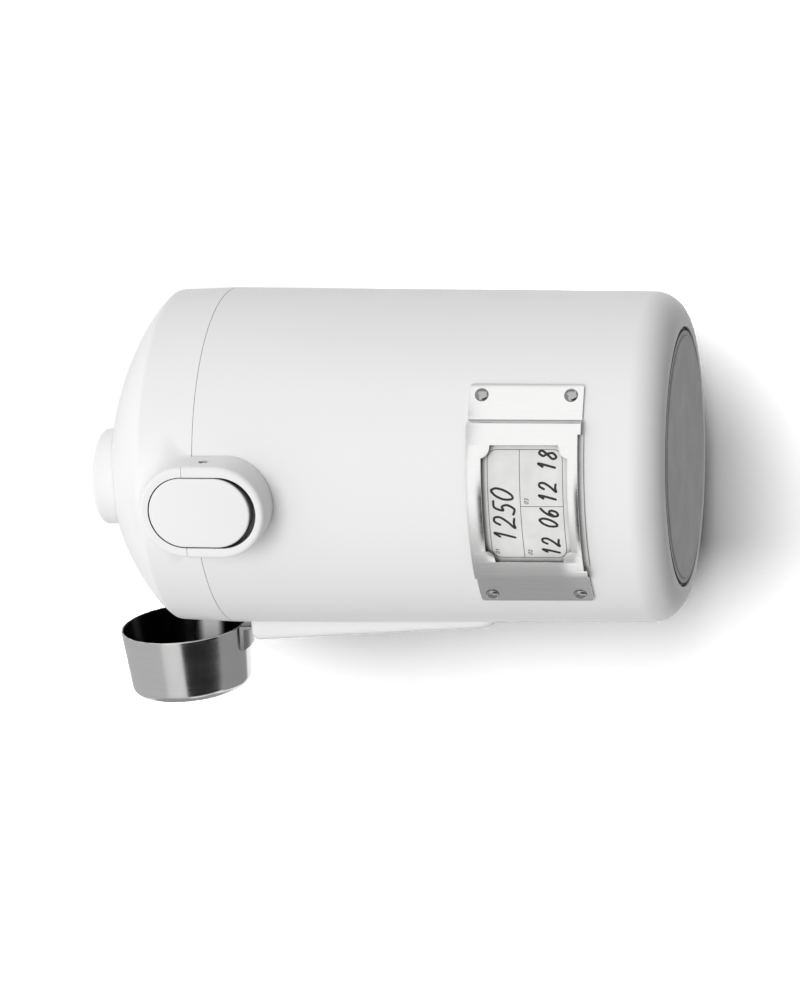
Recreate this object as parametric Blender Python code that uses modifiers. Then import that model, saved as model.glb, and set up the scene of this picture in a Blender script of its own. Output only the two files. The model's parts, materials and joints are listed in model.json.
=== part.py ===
"""Airtight canister: tapered shell, hinged domed lid with a push vent, rocker latch,
riveted label frame with a card, and a scoop that slides into a side pocket.

Metres, +Z up, origin at the centre of the base. The latch faces -Y, the hinge is at +Y
and the scoop is at -X.
"""
import math

import bmesh
import bpy
from mathutils import Matrix, Vector

# Gaps between pieces
GAP = 0.0003
RUNNING_GAP = 0.0002
OVERRUN = 0.002
WELD = 0.00002

# Outer shell
SEAM_HEIGHT = 0.16174
SEAM_RADIUS = 0.0600
BODY_TAPER = 0.00243
SHELL_WALL = 0.0022
FOOT_FILLET = 0.0110
FOOT_LIFT = 0.0004
LEDGE_DROP = 0.0033
LEDGE_HEIGHT = 0.0024
LEDGE_WIDTH = 0.0017
FLANGE_INSET = 0.01657
FLANGE_THICKNESS = 0.0022

# Foot pad and base plate
PAD_INSET = 0.01287
PAD_GAP = 0.0007
PAD_THICKNESS = 0.0018
PAD_RIM_WIDTH = 0.0018
PAD_RIM_STEP = 0.0003
PAD_EDGE = 0.0004
BASE_PLATE_INSET = 0.00957
BASE_PLATE_THICKNESS = 0.0018
BASE_SCREW_EDGE = 0.0048
BASE_SCREWS = 4

# Inner liner
LINER_INSET = 0.0057
LINER_TAPER_SHARE = 0.82
LINER_WALL = 0.0012
LINER_FLANGE = 0.0012
LINER_FLANGE_INSET = 0.0026
LINER_CORNER = 0.0040
LINER_LIFT = 0.0022

# Lid shell
SHOULDER_INSET = 0.00061
SHOULDER_HEIGHT = 0.0197
DOME_RISE = 0.01765
CROWN_SETBACK = 0.0322
DOME_SIDE_SHARE = 0.77
DOME_CROWN_SHARE = 1.69
DOME_LEAN_SHARE = 1.18
LID_WALL = 0.0022
BLEND_LOW = 0.0010
BLEND_HIGH = 0.0120
BLEND_HEIGHT = 0.0120
BLEND_INSET = 0.00025

# Lid liner and gasket
LID_PLATE_LIFT = 0.0013
LID_PLATE_THICKNESS = 0.0020
LID_PLATE_INSET = 0.0027
SKIRT_GAP = 0.0007
SKIRT_WALL = 0.0018
SKIRT_DEPTH = 0.0060
GASKET_INSET = 0.0030
GASKET_EDGE = 0.0004
LID_SCREW_INSET = 0.0160
LID_SCREWS = 3
LID_BOSS_RADIUS = 0.0035

# Latch housing and button
HOUSING_STAND = 0.0120
HOUSING_RIM = 0.0036
HOUSING_FOOT_RIM = 0.0029
HOUSING_ROUND = 0.0015
POCKET_FLOOR = 0.0022
BUTTON_HALF_WIDTH = 0.01225
BUTTON_ABOVE_SEAM = 0.01246
BUTTON_BELOW_SEAM = 0.02309
BUTTON_SIDE_GAP = 0.00035
BUTTON_TOP_GAP = 0.0004
BUTTON_FOOT_GAP = 0.0022
BUTTON_DEPTH = 0.0054
BUTTON_FACE = 0.0020
BUTTON_WALL = 0.0016
BUTTON_ROUND = 0.0006
PIN_BELOW_SEAM = 0.00624
PIN_BEHIND_FACE = 0.0070
PIN_RADIUS = 0.00125
PIN_HEAD_RADIUS = 0.00175
PIN_HEAD_DEPTH = 0.0012
PIN_BOSS_RADIUS = 0.0024
WEB_SHARE = 0.9
HOOK_HALF_WIDTH = 0.0030
HOOK_THICKNESS = 0.0018
HOOK_BITE = 0.00125
CATCH_LIP_HEIGHT = 0.0040
CATCH_THICKNESS = 0.0010
CATCH_HALF_WIDTH = 0.0060
CATCH_REACH = 0.0024
CATCH_LEG = 0.0042
CATCH_SCREW_SPACING = 0.0080
CATCH_SCREW_RADIUS = 0.0006
CATCH_SCREW_HEAD_RADIUS = 0.0012
LATCH_SPRING_DROP = 0.0095
LATCH_SPRING_RADIUS = 0.0026
LATCH_SPRING_WIRE = 0.0004
LATCH_SPRING_TURNS = 4
STOP_HALF_WIDTH = 0.0080
STOP_THICKNESS = 0.0014
POST_RADIUS = 0.0016
POST_LENGTH = 0.0026

# Hinge
HINGE_STAND = 0.0045
KNUCKLE_RADIUS = 0.0034
KNUCKLE_HALF_WIDTH = 0.0060
EAR_WIDTH = 0.0077
HINGE_PIN_RADIUS = 0.0015
HINGE_ROOT = 0.0012
HINGE_BLOCK_HEIGHT = 0.0085
HEEL_REACH = 0.0056
HEEL_THICKNESS = 0.0024
HEEL_HALF_WIDTH = 0.0045
LID_OPENING_DEGREES = 105.0

# Vent knob and valve
KNOB_RADIUS = 0.0168
KNOB_SETBACK = 0.0320
KNOB_STAND = 0.0040
KNOB_HEIGHT = 0.0126
KNOB_WALL = 0.0018
KNOB_ROUND = 0.0015
KNOB_BOSS_WALL = 0.0018
KNOB_BOSS_LENGTH = 0.0060
VENT_TRAVEL = 0.0025
WELL_FLOOR = 0.0018
WELL_WALL = 0.0015
STEM_RADIUS = 0.0028
STEM_TAIL = 0.0010
STEM_NECK = 0.0009
SEAL_RADIUS = 0.0070
SEAL_THICKNESS = 0.0016
CLIP_RADIUS = 0.0046
CLIP_THICKNESS = 0.0008
VENT_SPRING_RADIUS = 0.0060
VENT_SPRING_WIRE = 0.0005
VENT_SPRING_TURNS = 5

# Label frame, card and rivets
FRAME_LOW = 0.0265
FRAME_HIGH = 0.0654
FRAME_THICKNESS = 0.0008
FRAME_HALF_TURN = math.radians(40.3)
FRAME_BEND_START = math.radians(28.2)
FRAME_BEND_END = math.radians(26.2)
FRAME_RISE = 0.0023
FRAME_CORNER = 0.0012
FRAME_RELIEF = 0.0010
RIVET_TURN = math.radians(36.4)
RIVET_INSET = 0.0042
RIVET_HEAD_RADIUS = 0.00235
RIVET_HEAD_HEIGHT = 0.0012
RIVET_SHANK_RADIUS = 0.0012
RIVET_TAIL_RADIUS = 0.0019
RIVET_TAIL_HEIGHT = 0.0009
WINDOW_LOW = 0.0045
WINDOW_HIGH = 0.0051
WINDOW_HALF_WIDTH = 0.0210
WINDOW_NOTCH_WIDTH = 0.0042
WINDOW_NOTCH_HEIGHT = 0.0030
CARD_THICKNESS = 0.0005
CARD_HALF_TURN = math.radians(23.4)
CARD_TAB = 0.0006
CARD_BELOW_TOP = 0.0005

# Scoop holder
HOLDER_LENGTH = 0.0920
HOLDER_BELOW_SEAM = 0.00274
HOLDER_HALF_WIDTH = 0.0130
HOLDER_ROUND = 0.0030
HOLDER_TOP_REACH = 0.0066
HOLDER_FOOT_REACH = 0.0019
HOLDER_RUN_OUT = 0.0080
HOLDER_ROOT = 0.0120
HOLDER_SIDE_ROUND = 0.0024
HOLDER_SCREW_HIGH = 0.0170
HOLDER_SCREW_LOW = 0.0470
HOLDER_SCREW_SIDE = 0.0103

# Scoop
SCOOP_LEAN = math.radians(1.89)
CUP_RADIUS = 0.02365
CUP_FOOT_RADIUS = 0.0218
CUP_DEPTH = 0.0239
CUP_WALL = 0.0008
CUP_CORNER = 0.0030
CUP_ABOVE_SEAM = 0.02577
CUP_STAND = 0.00436
HANDLE_HALF_WIDTH = 0.0070
HANDLE_THICKNESS = 0.0012
HANDLE_LENGTH = 0.0520
HANDLE_TAB = 0.0090
SLOT_GAP = 0.00035

# Screws
SCREW_RADIUS = 0.0009
SCREW_HEAD_RADIUS = 0.0019
HEAD_HEIGHT_SHARE = 0.58
HEAD_CROWN_SHARE = 0.7
SCREW_BITE = 0.0030
SPOT_FACE = 0.0008

# Facet counts
SHELL_STEPS = 48
ROUND_STEPS = 36
SMALL_STEPS = 12
SCREW_STEPS = 8
ARC_STEPS = 5
DOME_COLUMNS = 56
DOME_ROWS = 11
BAND_ROWS = 4
HOLLOW_COLUMNS = 40
HOLLOW_ROWS = 7
CROWDING_SHARE = 1.35
SOLVE_STEPS = 36
SPRING_POINTS_PER_TURN = 10

# Heights and places worked out from the sizes above
HALF_SEAM = GAP / 2
BODY_TOP = SEAM_HEIGHT - HALF_SEAM
LID_LOW = SEAM_HEIGHT + HALF_SEAM
BASE_RADIUS = SEAM_RADIUS - BODY_TAPER
WALL_SLOPE = math.atan(BODY_TAPER / SEAM_HEIGHT)
PAD_RADIUS = BASE_RADIUS - PAD_INSET
FLANGE_RADIUS = BASE_RADIUS - FLANGE_INSET
BASE_PLATE_RADIUS = BASE_RADIUS - BASE_PLATE_INSET
BASE_SCREW_CIRCLE = BASE_PLATE_RADIUS - BASE_SCREW_EDGE
LINER_RADIUS = SEAM_RADIUS - LINER_INSET
LINER_TAPER = BODY_TAPER * LINER_TAPER_SHARE
LINER_FLANGE_RADIUS = SEAM_RADIUS - LINER_FLANGE_INSET
LID_PLATE_RADIUS = SEAM_RADIUS - LID_PLATE_INSET
SKIRT_RADIUS = LINER_RADIUS - LINER_WALL - SKIRT_GAP
GASKET_OUTER = SEAM_RADIUS - GASKET_INSET
LID_SCREW_CIRCLE = SEAM_RADIUS - LID_SCREW_INSET
SHOULDER_RADIUS = SEAM_RADIUS - SHOULDER_INSET
SHOULDER = SEAM_HEIGHT + SHOULDER_HEIGHT
DOME_TOP = SHOULDER + DOME_RISE
DOME_LEAN = SEAM_RADIUS - CROWN_SETBACK
KNOB_LEAD = SEAM_RADIUS - KNOB_SETBACK
KNOB_TOP = DOME_TOP + KNOB_STAND
KNOB_LOW = KNOB_TOP - KNOB_HEIGHT
WELL_RADIUS = KNOB_RADIUS + GAP
WELL_BOTTOM = KNOB_LOW - VENT_TRAVEL - GAP
FACE = SEAM_RADIUS + HOUSING_STAND
POCKET_BACK = SEAM_RADIUS + POCKET_FLOOR
OPENING_HALF_WIDTH = BUTTON_HALF_WIDTH + BUTTON_SIDE_GAP
HOUSING_HALF_WIDTH = OPENING_HALF_WIDTH + HOUSING_RIM
OPENING_LOW = SEAM_HEIGHT - BUTTON_BELOW_SEAM - BUTTON_FOOT_GAP
OPENING_HIGH = SEAM_HEIGHT + BUTTON_ABOVE_SEAM + BUTTON_TOP_GAP
HOUSING_LOW = OPENING_LOW - HOUSING_FOOT_RIM
HOUSING_HIGH = SEAM_HEIGHT + HOUSING_HALF_WIDTH
BUTTON_LOW = SEAM_HEIGHT - BUTTON_BELOW_SEAM
BUTTON_HIGH = SEAM_HEIGHT + BUTTON_ABOVE_SEAM
PIN_HEIGHT = SEAM_HEIGHT - PIN_BELOW_SEAM
PIN_PLACE = FACE - PIN_BEHIND_FACE
HINGE_PLACE = SEAM_RADIUS + HINGE_STAND
LEDGE_TOP = BODY_TOP - LEDGE_DROP
LINER_FLANGE_LOW = LEDGE_TOP + GAP
LINER_TOP = LINER_FLANGE_LOW + LINER_FLANGE
GASKET_LOW = LINER_TOP + GAP
LID_PLATE_LOW = LID_LOW + LID_PLATE_LIFT
LID_PLATE_HIGH = LID_PLATE_LOW + LID_PLATE_THICKNESS
PAD_RECESS_TOP = PAD_THICKNESS + GAP
FLANGE_TOP = PAD_RECESS_TOP + FLANGE_THICKNESS
BASE_PLATE_LOW = FLANGE_TOP + GAP
BASE_PLATE_HIGH = BASE_PLATE_LOW + BASE_PLATE_THICKNESS
LINER_LOW = BASE_PLATE_HIGH + LINER_LIFT
FILLET_TOP = FOOT_LIFT + FOOT_FILLET
CATCH_FACE = POCKET_BACK + GAP
CATCH_LIP_LOW = SEAM_HEIGHT + CATCH_LIP_HEIGHT
HOLDER_HIGH = SEAM_HEIGHT - HOLDER_BELOW_SEAM
HOLDER_LOW = HOLDER_HIGH - HOLDER_LENGTH
CUP_HEIGHT = SEAM_HEIGHT + CUP_ABOVE_SEAM
CUP_PLACE = SEAM_RADIUS + CUP_STAND
SCOOP_TILT = WALL_SLOPE + SCOOP_LEAN
SCOOP_AXIS = Vector((-math.sin(SCOOP_TILT), 0, math.cos(SCOOP_TILT)))
MOUTH_AXIS = Vector((math.cos(SCOOP_TILT), 0, math.sin(SCOOP_TILT)))
CUP_CENTRE = Vector((-CUP_PLACE, 0, CUP_HEIGHT))
FRONT = Vector((0, -1, 0))


def empty_scene():
    """Remove what the scene holds, and make the two collections."""
    for old in list(bpy.data.objects):
        bpy.data.objects.remove(old, do_unlink=True)
    made = []
    for name in ("airtight_canister", "cutters"):
        collection = bpy.data.collections.new(name)
        bpy.context.scene.collection.children.link(collection)
        made.append(collection)
    return made


PARTS, CUTTERS = empty_scene()


def material(name, colour, metallic, roughness):
    paint = bpy.data.materials.new(name)
    paint.use_nodes = True
    shader = paint.node_tree.nodes["Principled BSDF"]
    shader.inputs["Base Color"].default_value = (*colour, 1)
    shader.inputs["Metallic"].default_value = metallic
    shader.inputs["Roughness"].default_value = roughness
    paint.diffuse_color = (*colour, 1)
    return paint


WHITE = material("satin_white", (0.86, 0.86, 0.86), 0, 0.45)
INNER_WHITE = material("inner_white", (0.78, 0.78, 0.77), 0, 0.5)
STEEL = material("brushed_steel", (0.62, 0.62, 0.61), 1, 0.3)
RUBBER = material("grey_rubber", (0.32, 0.32, 0.32), 0, 0.8)
SILICONE = material("silicone", (0.7, 0.7, 0.69), 0, 0.6)
PAPER = material("card", (0.8, 0.8, 0.79), 0, 0.9)


def add(name, mesh, paint=None):
    """Put a mesh into the scene: a part if it has a material, or else a cutter."""
    thing = bpy.data.objects.new(name, mesh)
    if paint is None:
        CUTTERS.objects.link(thing)
        thing.hide_render = True
        thing.display_type = "WIRE"
        return thing
    PARTS.objects.link(thing)
    mesh.materials.append(paint)
    return thing


def smooth(thing):
    """Shade a finished round piece smooth, with its real edges sharp."""
    thing.data.shade_smooth()
    thing.data.set_sharp_from_angle(angle=math.radians(35))


def evaluated_mesh(thing, name):
    bpy.context.view_layer.update()
    graph = bpy.context.evaluated_depsgraph_get()
    mesh = bpy.data.meshes.new_from_object(thing.evaluated_get(graph))
    mesh.name = name
    return mesh


def turned_mesh(name, profile, steps, closed):
    """A profile of (radius, height) pairs turned about Z, as a plain mesh."""
    mesh = bpy.data.meshes.new(name)
    edges = [(i, i + 1) for i in range(len(profile) - 1)]
    if closed:
        edges.append((len(profile) - 1, 0))
    mesh.from_pydata([(radius, 0, height) for radius, height in profile], edges, [])
    blank = add(name + "_profile", mesh)
    screw = blank.modifiers.new("turn", "SCREW")
    screw.angle = math.tau
    screw.steps = steps
    screw.render_steps = steps
    screw.use_merge_vertices = True
    screw.merge_threshold = WELD
    screw.use_smooth_shade = False
    solid = evaluated_mesh(blank, name)
    bpy.data.objects.remove(blank, do_unlink=True)
    return solid


def turned(name, profile, steps, paint=None, closed=False, place=None):
    mesh = turned_mesh(name, profile, steps, closed)
    if place is not None:
        mesh.transform(place)
    return add(name, mesh, paint)


def from_bmesh(name, work):
    bmesh.ops.recalc_face_normals(work, faces=work.faces)
    mesh = bpy.data.meshes.new(name)
    work.to_mesh(mesh)
    work.free()
    return mesh


def box(name, low, high, paint=None, place=None):
    """A box between two corners, moved by place if it is given."""
    work = bmesh.new()
    bmesh.ops.create_cube(work, size=1)
    size = Vector(high) - Vector(low)
    middle = (Vector(high) + Vector(low)) / 2
    bmesh.ops.scale(work, vec=size, verts=work.verts)
    bmesh.ops.translate(work, vec=middle, verts=work.verts)
    mesh = from_bmesh(name, work)
    if place is not None:
        mesh.transform(place)
    return add(name, mesh, paint)


def rod_mesh(name, radius, start, end, steps):
    """A plain cylinder between two points."""
    start, end = Vector(start), Vector(end)
    work = bmesh.new()
    bmesh.ops.create_cone(work, cap_ends=True, segments=steps, radius1=radius, radius2=radius,
                          depth=(end - start).length)
    turn = (end - start).to_track_quat("Z", "Y").to_matrix().to_4x4()
    bmesh.ops.transform(work, matrix=Matrix.Translation((start + end) / 2) @ turn, verts=work.verts)
    return from_bmesh(name, work)


def rod(name, radius, start, end, steps=SMALL_STEPS, paint=None):
    return add(name, rod_mesh(name, radius, start, end, steps), paint)


def combine(target, other, operation):
    """Join, cut or intersect target with another object that stays hidden."""
    step = target.modifiers.new(other.name, "BOOLEAN")
    step.operation = operation
    step.object = other
    step.solver = "EXACT"


def cut(target, *cutters):
    for cutter in cutters:
        combine(target, cutter, "DIFFERENCE")


def join(target, *others):
    for other in others:
        combine(target, other, "UNION")


def numbered(name, meshes, paint):
    """Like pieces, each an object of its own, counted from 1."""
    return [add("%s_%d" % (name, i + 1), mesh, paint) for i, mesh in enumerate(meshes)]


def arc(centre, radius, start, end, steps):
    """Points on an arc of (across, up) pairs, from angle start to angle end in degrees."""
    points = []
    for i in range(steps + 1):
        turn = math.radians(start + (end - start) * i / steps)
        points.append((centre[0] + radius * math.cos(turn), centre[1] + radius * math.sin(turn)))
    return points


def plate(name, outline, thickness, place, paint=None, front_round=0):
    """A flat outline given thickness about its plane, with its front edge rounded."""
    curve = bpy.data.curves.new(name, "CURVE")
    curve.dimensions = "2D"
    curve.fill_mode = "BOTH"
    curve.extrude = thickness / 2
    spline = curve.splines.new("POLY")
    spline.points.add(len(outline) - 1)
    for point, (across, up) in zip(spline.points, outline):
        point.co = (across, up, 0, 1)
    spline.use_cyclic_u = True
    shape = bpy.data.objects.new(name + "_outline", curve)
    CUTTERS.objects.link(shape)
    mesh = evaluated_mesh(shape, name)
    bpy.data.objects.remove(shape, do_unlink=True)
    work = bmesh.new()
    work.from_mesh(mesh)
    bmesh.ops.remove_doubles(work, verts=work.verts, dist=WELD)
    bmesh.ops.dissolve_limit(work, angle_limit=math.radians(1), verts=work.verts, edges=work.edges)
    if front_round:
        top = max(vert.co.z for vert in work.verts)
        edges = [edge for edge in work.edges if all(abs(v.co.z - top) < WELD for v in edge.verts)]
        bmesh.ops.bevel(work, geom=edges, offset=front_round, segments=2, profile=0.5,
                        affect="EDGES", clamp_overlap=True)
    bmesh.ops.transform(work, matrix=place, verts=work.verts)
    return add(name, from_bmesh(name, work), paint)


def facing_front(distance):
    """Placement of an outline whose plane stands at a distance in front of the axis."""
    return Matrix.Translation(FRONT * distance) @ Matrix.Rotation(math.radians(90), 4, "X")


def front_plate(name, outline, near, far, paint=None, front_round=0):
    """An (x, z) outline between two distances in front of the axis."""
    return plate(name, outline, near - far, facing_front((near + far) / 2), paint, front_round)


def stadium(half_width, low, high):
    """An (x, z) outline with two round ends."""
    foot = arc((0, low + half_width), half_width, 180, 360, 2 * ARC_STEPS)
    return foot + arc((0, high - half_width), half_width, 0, 180, 2 * ARC_STEPS)


def stadium_foot(half_width, low, ceiling):
    """The lower part of such an outline, up to a flat ceiling."""
    foot = arc((0, low + half_width), half_width, 180, 360, 2 * ARC_STEPS)
    return foot + [(half_width, ceiling), (-half_width, ceiling)]


def stadium_top(half_width, floor, high):
    """The upper part of such an outline, from a flat floor near its centre."""
    centre = high - half_width
    start = math.degrees(math.asin((floor - centre) / half_width))
    return arc((0, centre), half_width, start, 180 - start, 2 * ARC_STEPS)


def shell_radius(height):
    """The outer shell's radius at a height, before the foot fillet."""
    return BASE_RADIUS + (SEAM_RADIUS - BASE_RADIUS) * height / SEAM_HEIGHT


def around(turn, radius, height):
    """The point at an angle from the front, towards +X, at a radius and height."""
    return Vector((radius * math.sin(turn), -radius * math.cos(turn), height))


def body_cone(name, offset):
    """A solid that follows the outside of the shell at an offset."""
    low = -OVERRUN
    high = SEAM_HEIGHT + OVERRUN
    return turned(name, [(0, high), (shell_radius(high) + offset, high),
                         (shell_radius(low) + offset, low), (0, low)], SHELL_STEPS)


def screw_mesh(name, seat, direction, length, radius=SCREW_RADIUS, head=SCREW_HEAD_RADIUS):
    """A pan-head screw: its head bears at seat and its shank runs along direction."""
    height = head * HEAD_HEIGHT_SHARE
    profile = [(0, height), (head * HEAD_CROWN_SHARE, height), (head, 0), (radius, 0),
               (radius, radius - length), (0, -length)]
    mesh = turned_mesh(name, profile, SCREW_STEPS, False)
    turn = (-Vector(direction)).to_track_quat("Z", "Y").to_matrix().to_4x4()
    mesh.transform(Matrix.Translation(seat) @ turn)
    return mesh


def empty_at(name, place):
    """An empty on a joint's axis, which carries the pieces that move about it."""
    axis = bpy.data.objects.new(name, None)
    axis.location = place
    PARTS.objects.link(axis)
    return axis


def carry(axis, *things):
    bpy.context.view_layer.update()
    for thing in things:
        thing.parent = axis
        thing.matrix_parent_inverse = axis.matrix_world.inverted()


def spring(name, radius, wire, start, end, turns, paint):
    """A coil of round wire between two points, wound about the line that joins them."""
    start, end = Vector(start), Vector(end)
    line = end - start
    place = Matrix.Translation(start) @ line.to_track_quat("Z", "Y").to_matrix().to_4x4()
    rise = line.length - 2 * wire
    count = turns * SPRING_POINTS_PER_TURN
    curve = bpy.data.curves.new(name, "CURVE")
    curve.dimensions = "3D"
    curve.bevel_depth = wire
    curve.bevel_resolution = 1
    curve.use_fill_caps = True
    spline = curve.splines.new("POLY")
    spline.points.add(count)
    for i, point in enumerate(spline.points):
        turn = math.tau * i / SPRING_POINTS_PER_TURN
        height = wire + rise * i / count
        point.co = (radius * math.cos(turn), radius * math.sin(turn), height, 1)
    shape = bpy.data.objects.new(name + "_wire", curve)
    CUTTERS.objects.link(shape)
    mesh = evaluated_mesh(shape, name)
    bpy.data.objects.remove(shape, do_unlink=True)
    work = bmesh.new()
    work.from_mesh(mesh)
    bmesh.ops.remove_doubles(work, verts=work.verts, dist=WELD)
    bmesh.ops.transform(work, matrix=place, verts=work.verts)
    return add(name, from_bmesh(name, work), paint)


# Body

def outer_shell():
    """The tapered shell, with its ledge, foot flange, hinge ears and fixing holes."""
    top = BODY_TOP
    inner = FOOT_FILLET - SHELL_WALL
    fillet_place = shell_radius(FILLET_TOP) - FOOT_FILLET
    start = -math.degrees(math.asin((FILLET_TOP - FLANGE_TOP) / inner))
    profile = [(shell_radius(top), top)]
    profile += arc((fillet_place, FILLET_TOP), FOOT_FILLET, 0, -90, ARC_STEPS + 2)
    profile += [(PAD_RADIUS + PAD_GAP, FOOT_LIFT), (PAD_RADIUS + PAD_GAP, PAD_RECESS_TOP),
                (FLANGE_RADIUS, PAD_RECESS_TOP), (FLANGE_RADIUS, FLANGE_TOP)]
    profile += arc((fillet_place, FILLET_TOP), inner, start, 0, ARC_STEPS - 1)
    ledge_low = LEDGE_TOP - LEDGE_HEIGHT
    ledge_radius = shell_radius(LEDGE_TOP) - SHELL_WALL - LEDGE_WIDTH
    profile += [(shell_radius(ledge_low - LEDGE_WIDTH) - SHELL_WALL, ledge_low - LEDGE_WIDTH),
                (ledge_radius, ledge_low), (ledge_radius, LEDGE_TOP),
                (shell_radius(LEDGE_TOP) - SHELL_WALL, LEDGE_TOP),
                (shell_radius(top) - SHELL_WALL, top)]
    shell = turned("outer_shell", profile, SHELL_STEPS, WHITE, closed=True)
    join(shell, hinge_block())
    cut(shell, hinge_bore("shell_hinge_bore"))
    for i, place in enumerate(rivet_places()):
        axis = Vector((place.x, place.y, 0)).normalized()
        cut(shell, rod("rivet_hole_%d" % i, RIVET_SHANK_RADIUS + RUNNING_GAP,
                       place + axis * OVERRUN, place - axis * 2 * (SHELL_WALL + OVERRUN)))
    for i, (seat, axis) in enumerate(housing_screw_seats() + holder_screw_seats()):
        cut(shell, rod("shell_screw_hole_%d" % i, SCREW_RADIUS + RUNNING_GAP, seat - axis * OVERRUN,
                       seat + axis * 2 * (SHELL_WALL + OVERRUN), SCREW_STEPS))
        cut(shell, rod("spot_face_%d" % i, SCREW_HEAD_RADIUS + GAP, seat,
                       seat - axis * (SPOT_FACE + OVERRUN), SCREW_STEPS))
    for i, place in enumerate(base_screw_places()):
        cut(shell, rod("base_screw_hole_%d" % i, SCREW_RADIUS + RUNNING_GAP,
                       place - Vector((0, 0, BASE_PLATE_HIGH)), place + Vector((0, 0, OVERRUN)),
                       SCREW_STEPS))
    return shell


def inner_liner():
    """The food vessel, a moulded cup that hangs by its flange on the shell's ledge."""
    foot = LINER_RADIUS - LINER_TAPER
    inner = LINER_CORNER - LINER_WALL
    corner = (foot - LINER_CORNER, LINER_LOW + LINER_CORNER)
    profile = [(0, LINER_LOW + LINER_WALL)]
    profile += arc(corner, inner, -90, 0, ARC_STEPS - 1)
    profile += [(LINER_RADIUS - LINER_WALL, LINER_TOP), (LINER_FLANGE_RADIUS, LINER_TOP),
                (LINER_FLANGE_RADIUS, LINER_FLANGE_LOW), (LINER_RADIUS, LINER_FLANGE_LOW)]
    profile += arc(corner, LINER_CORNER, 0, -90, ARC_STEPS - 1)
    profile += [(0, LINER_LOW)]
    return turned("inner_liner", profile, ROUND_STEPS, INNER_WHITE)


def base_screw_places():
    places = []
    for i in range(BASE_SCREWS):
        turn = math.tau * (i + 0.5) / BASE_SCREWS
        places.append(around(turn, BASE_SCREW_CIRCLE, BASE_PLATE_HIGH + GAP / 2))
    return places


def base_plate():
    """The disc that closes the shell's foot from inside."""
    profile = [(0, BASE_PLATE_HIGH), (BASE_PLATE_RADIUS, BASE_PLATE_HIGH),
               (BASE_PLATE_RADIUS, BASE_PLATE_LOW), (0, BASE_PLATE_LOW)]
    disc = turned("base_plate", profile, ROUND_STEPS, INNER_WHITE)
    for i, place in enumerate(base_screw_places()):
        cut(disc, rod("plate_screw_hole_%d" % i, SCREW_RADIUS + RUNNING_GAP,
                      place - Vector((0, 0, BASE_PLATE_HIGH)), place + Vector((0, 0, OVERRUN)),
                      SCREW_STEPS))
    return disc


def base_screws():
    length = BASE_PLATE_THICKNESS + FLANGE_THICKNESS
    meshes = [screw_mesh("base_screw", place, (0, 0, -1), length) for place in base_screw_places()]
    return numbered("base_screw", meshes, STEEL)


def foot_pad():
    """The soft disc under the base, with a raised rim band."""
    band = PAD_RADIUS - PAD_RIM_WIDTH
    profile = [(0, PAD_THICKNESS), (PAD_RADIUS, PAD_THICKNESS), (PAD_RADIUS, PAD_EDGE + PAD_RIM_STEP),
               (PAD_RADIUS - PAD_EDGE, PAD_RIM_STEP), (band, PAD_RIM_STEP),
               (band - PAD_RIM_STEP, 0), (0, 0)]
    return turned("foot_pad", profile, ROUND_STEPS, RUBBER)


# Latch

def housing_screw_seats():
    """Where the housing's screws bear inside the shell, with their direction."""
    seats = []
    side = HOUSING_HALF_WIDTH - HOUSING_RIM / 2
    for across in (-side, side):
        height = OPENING_LOW + OPENING_HALF_WIDTH
        inside = math.sqrt((shell_radius(height) - SHELL_WALL) ** 2 - side ** 2)
        seats.append((Vector((across, -inside - SPOT_FACE, height)), FRONT))
    return seats


def latch_housing():
    """The lower half of the latch surround, seated on the shell."""
    side = HOUSING_HALF_WIDTH + OVERRUN
    past = BODY_TOP + 2 * HOUSING_ROUND
    outline = stadium_foot(HOUSING_HALF_WIDTH, HOUSING_LOW, past)
    housing = front_plate("latch_housing", outline, FACE, SEAM_RADIUS - HOUSING_STAND / 2, WHITE,
                          HOUSING_ROUND)
    cut(housing, box("housing_trim", (-side, -FACE - OVERRUN, BODY_TOP), (side, 0, past + OVERRUN)),
        body_cone("housing_seat", GAP), latch_pocket("housing_pocket"))
    cut(housing, rod("housing_pin_hole", PIN_RADIUS + RUNNING_GAP, (-side, -PIN_PLACE, PIN_HEIGHT),
                     (side, -PIN_PLACE, PIN_HEIGHT)))
    head = HOUSING_HALF_WIDTH - PIN_HEAD_DEPTH
    cut(housing, rod("pin_head_seat", PIN_HEAD_RADIUS + RUNNING_GAP,
                     (head - RUNNING_GAP, -PIN_PLACE, PIN_HEIGHT), (side, -PIN_PLACE, PIN_HEIGHT)))
    for i, (seat, axis) in enumerate(housing_screw_seats()):
        start = seat + axis * SHELL_WALL / 2
        cut(housing, rod("housing_pilot_%d" % i, SCREW_RADIUS + RUNNING_GAP, start,
                         seat + axis * (SHELL_WALL + 2 * SCREW_BITE + GAP), SCREW_STEPS))
    return housing


def latch_pocket(name):
    """The opening that the button fills, down to the pocket's floor."""
    outline = stadium(OPENING_HALF_WIDTH, OPENING_LOW, OPENING_HIGH)
    return front_plate(name, outline, FACE + OVERRUN, POCKET_BACK)


def housing_screws():
    length = SHELL_WALL + 2 * SCREW_BITE
    meshes = [screw_mesh("housing_screw", seat - axis * GAP / 2, axis, length)
              for seat, axis in housing_screw_seats()]
    return numbered("housing_screw", meshes, STEEL)


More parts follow.
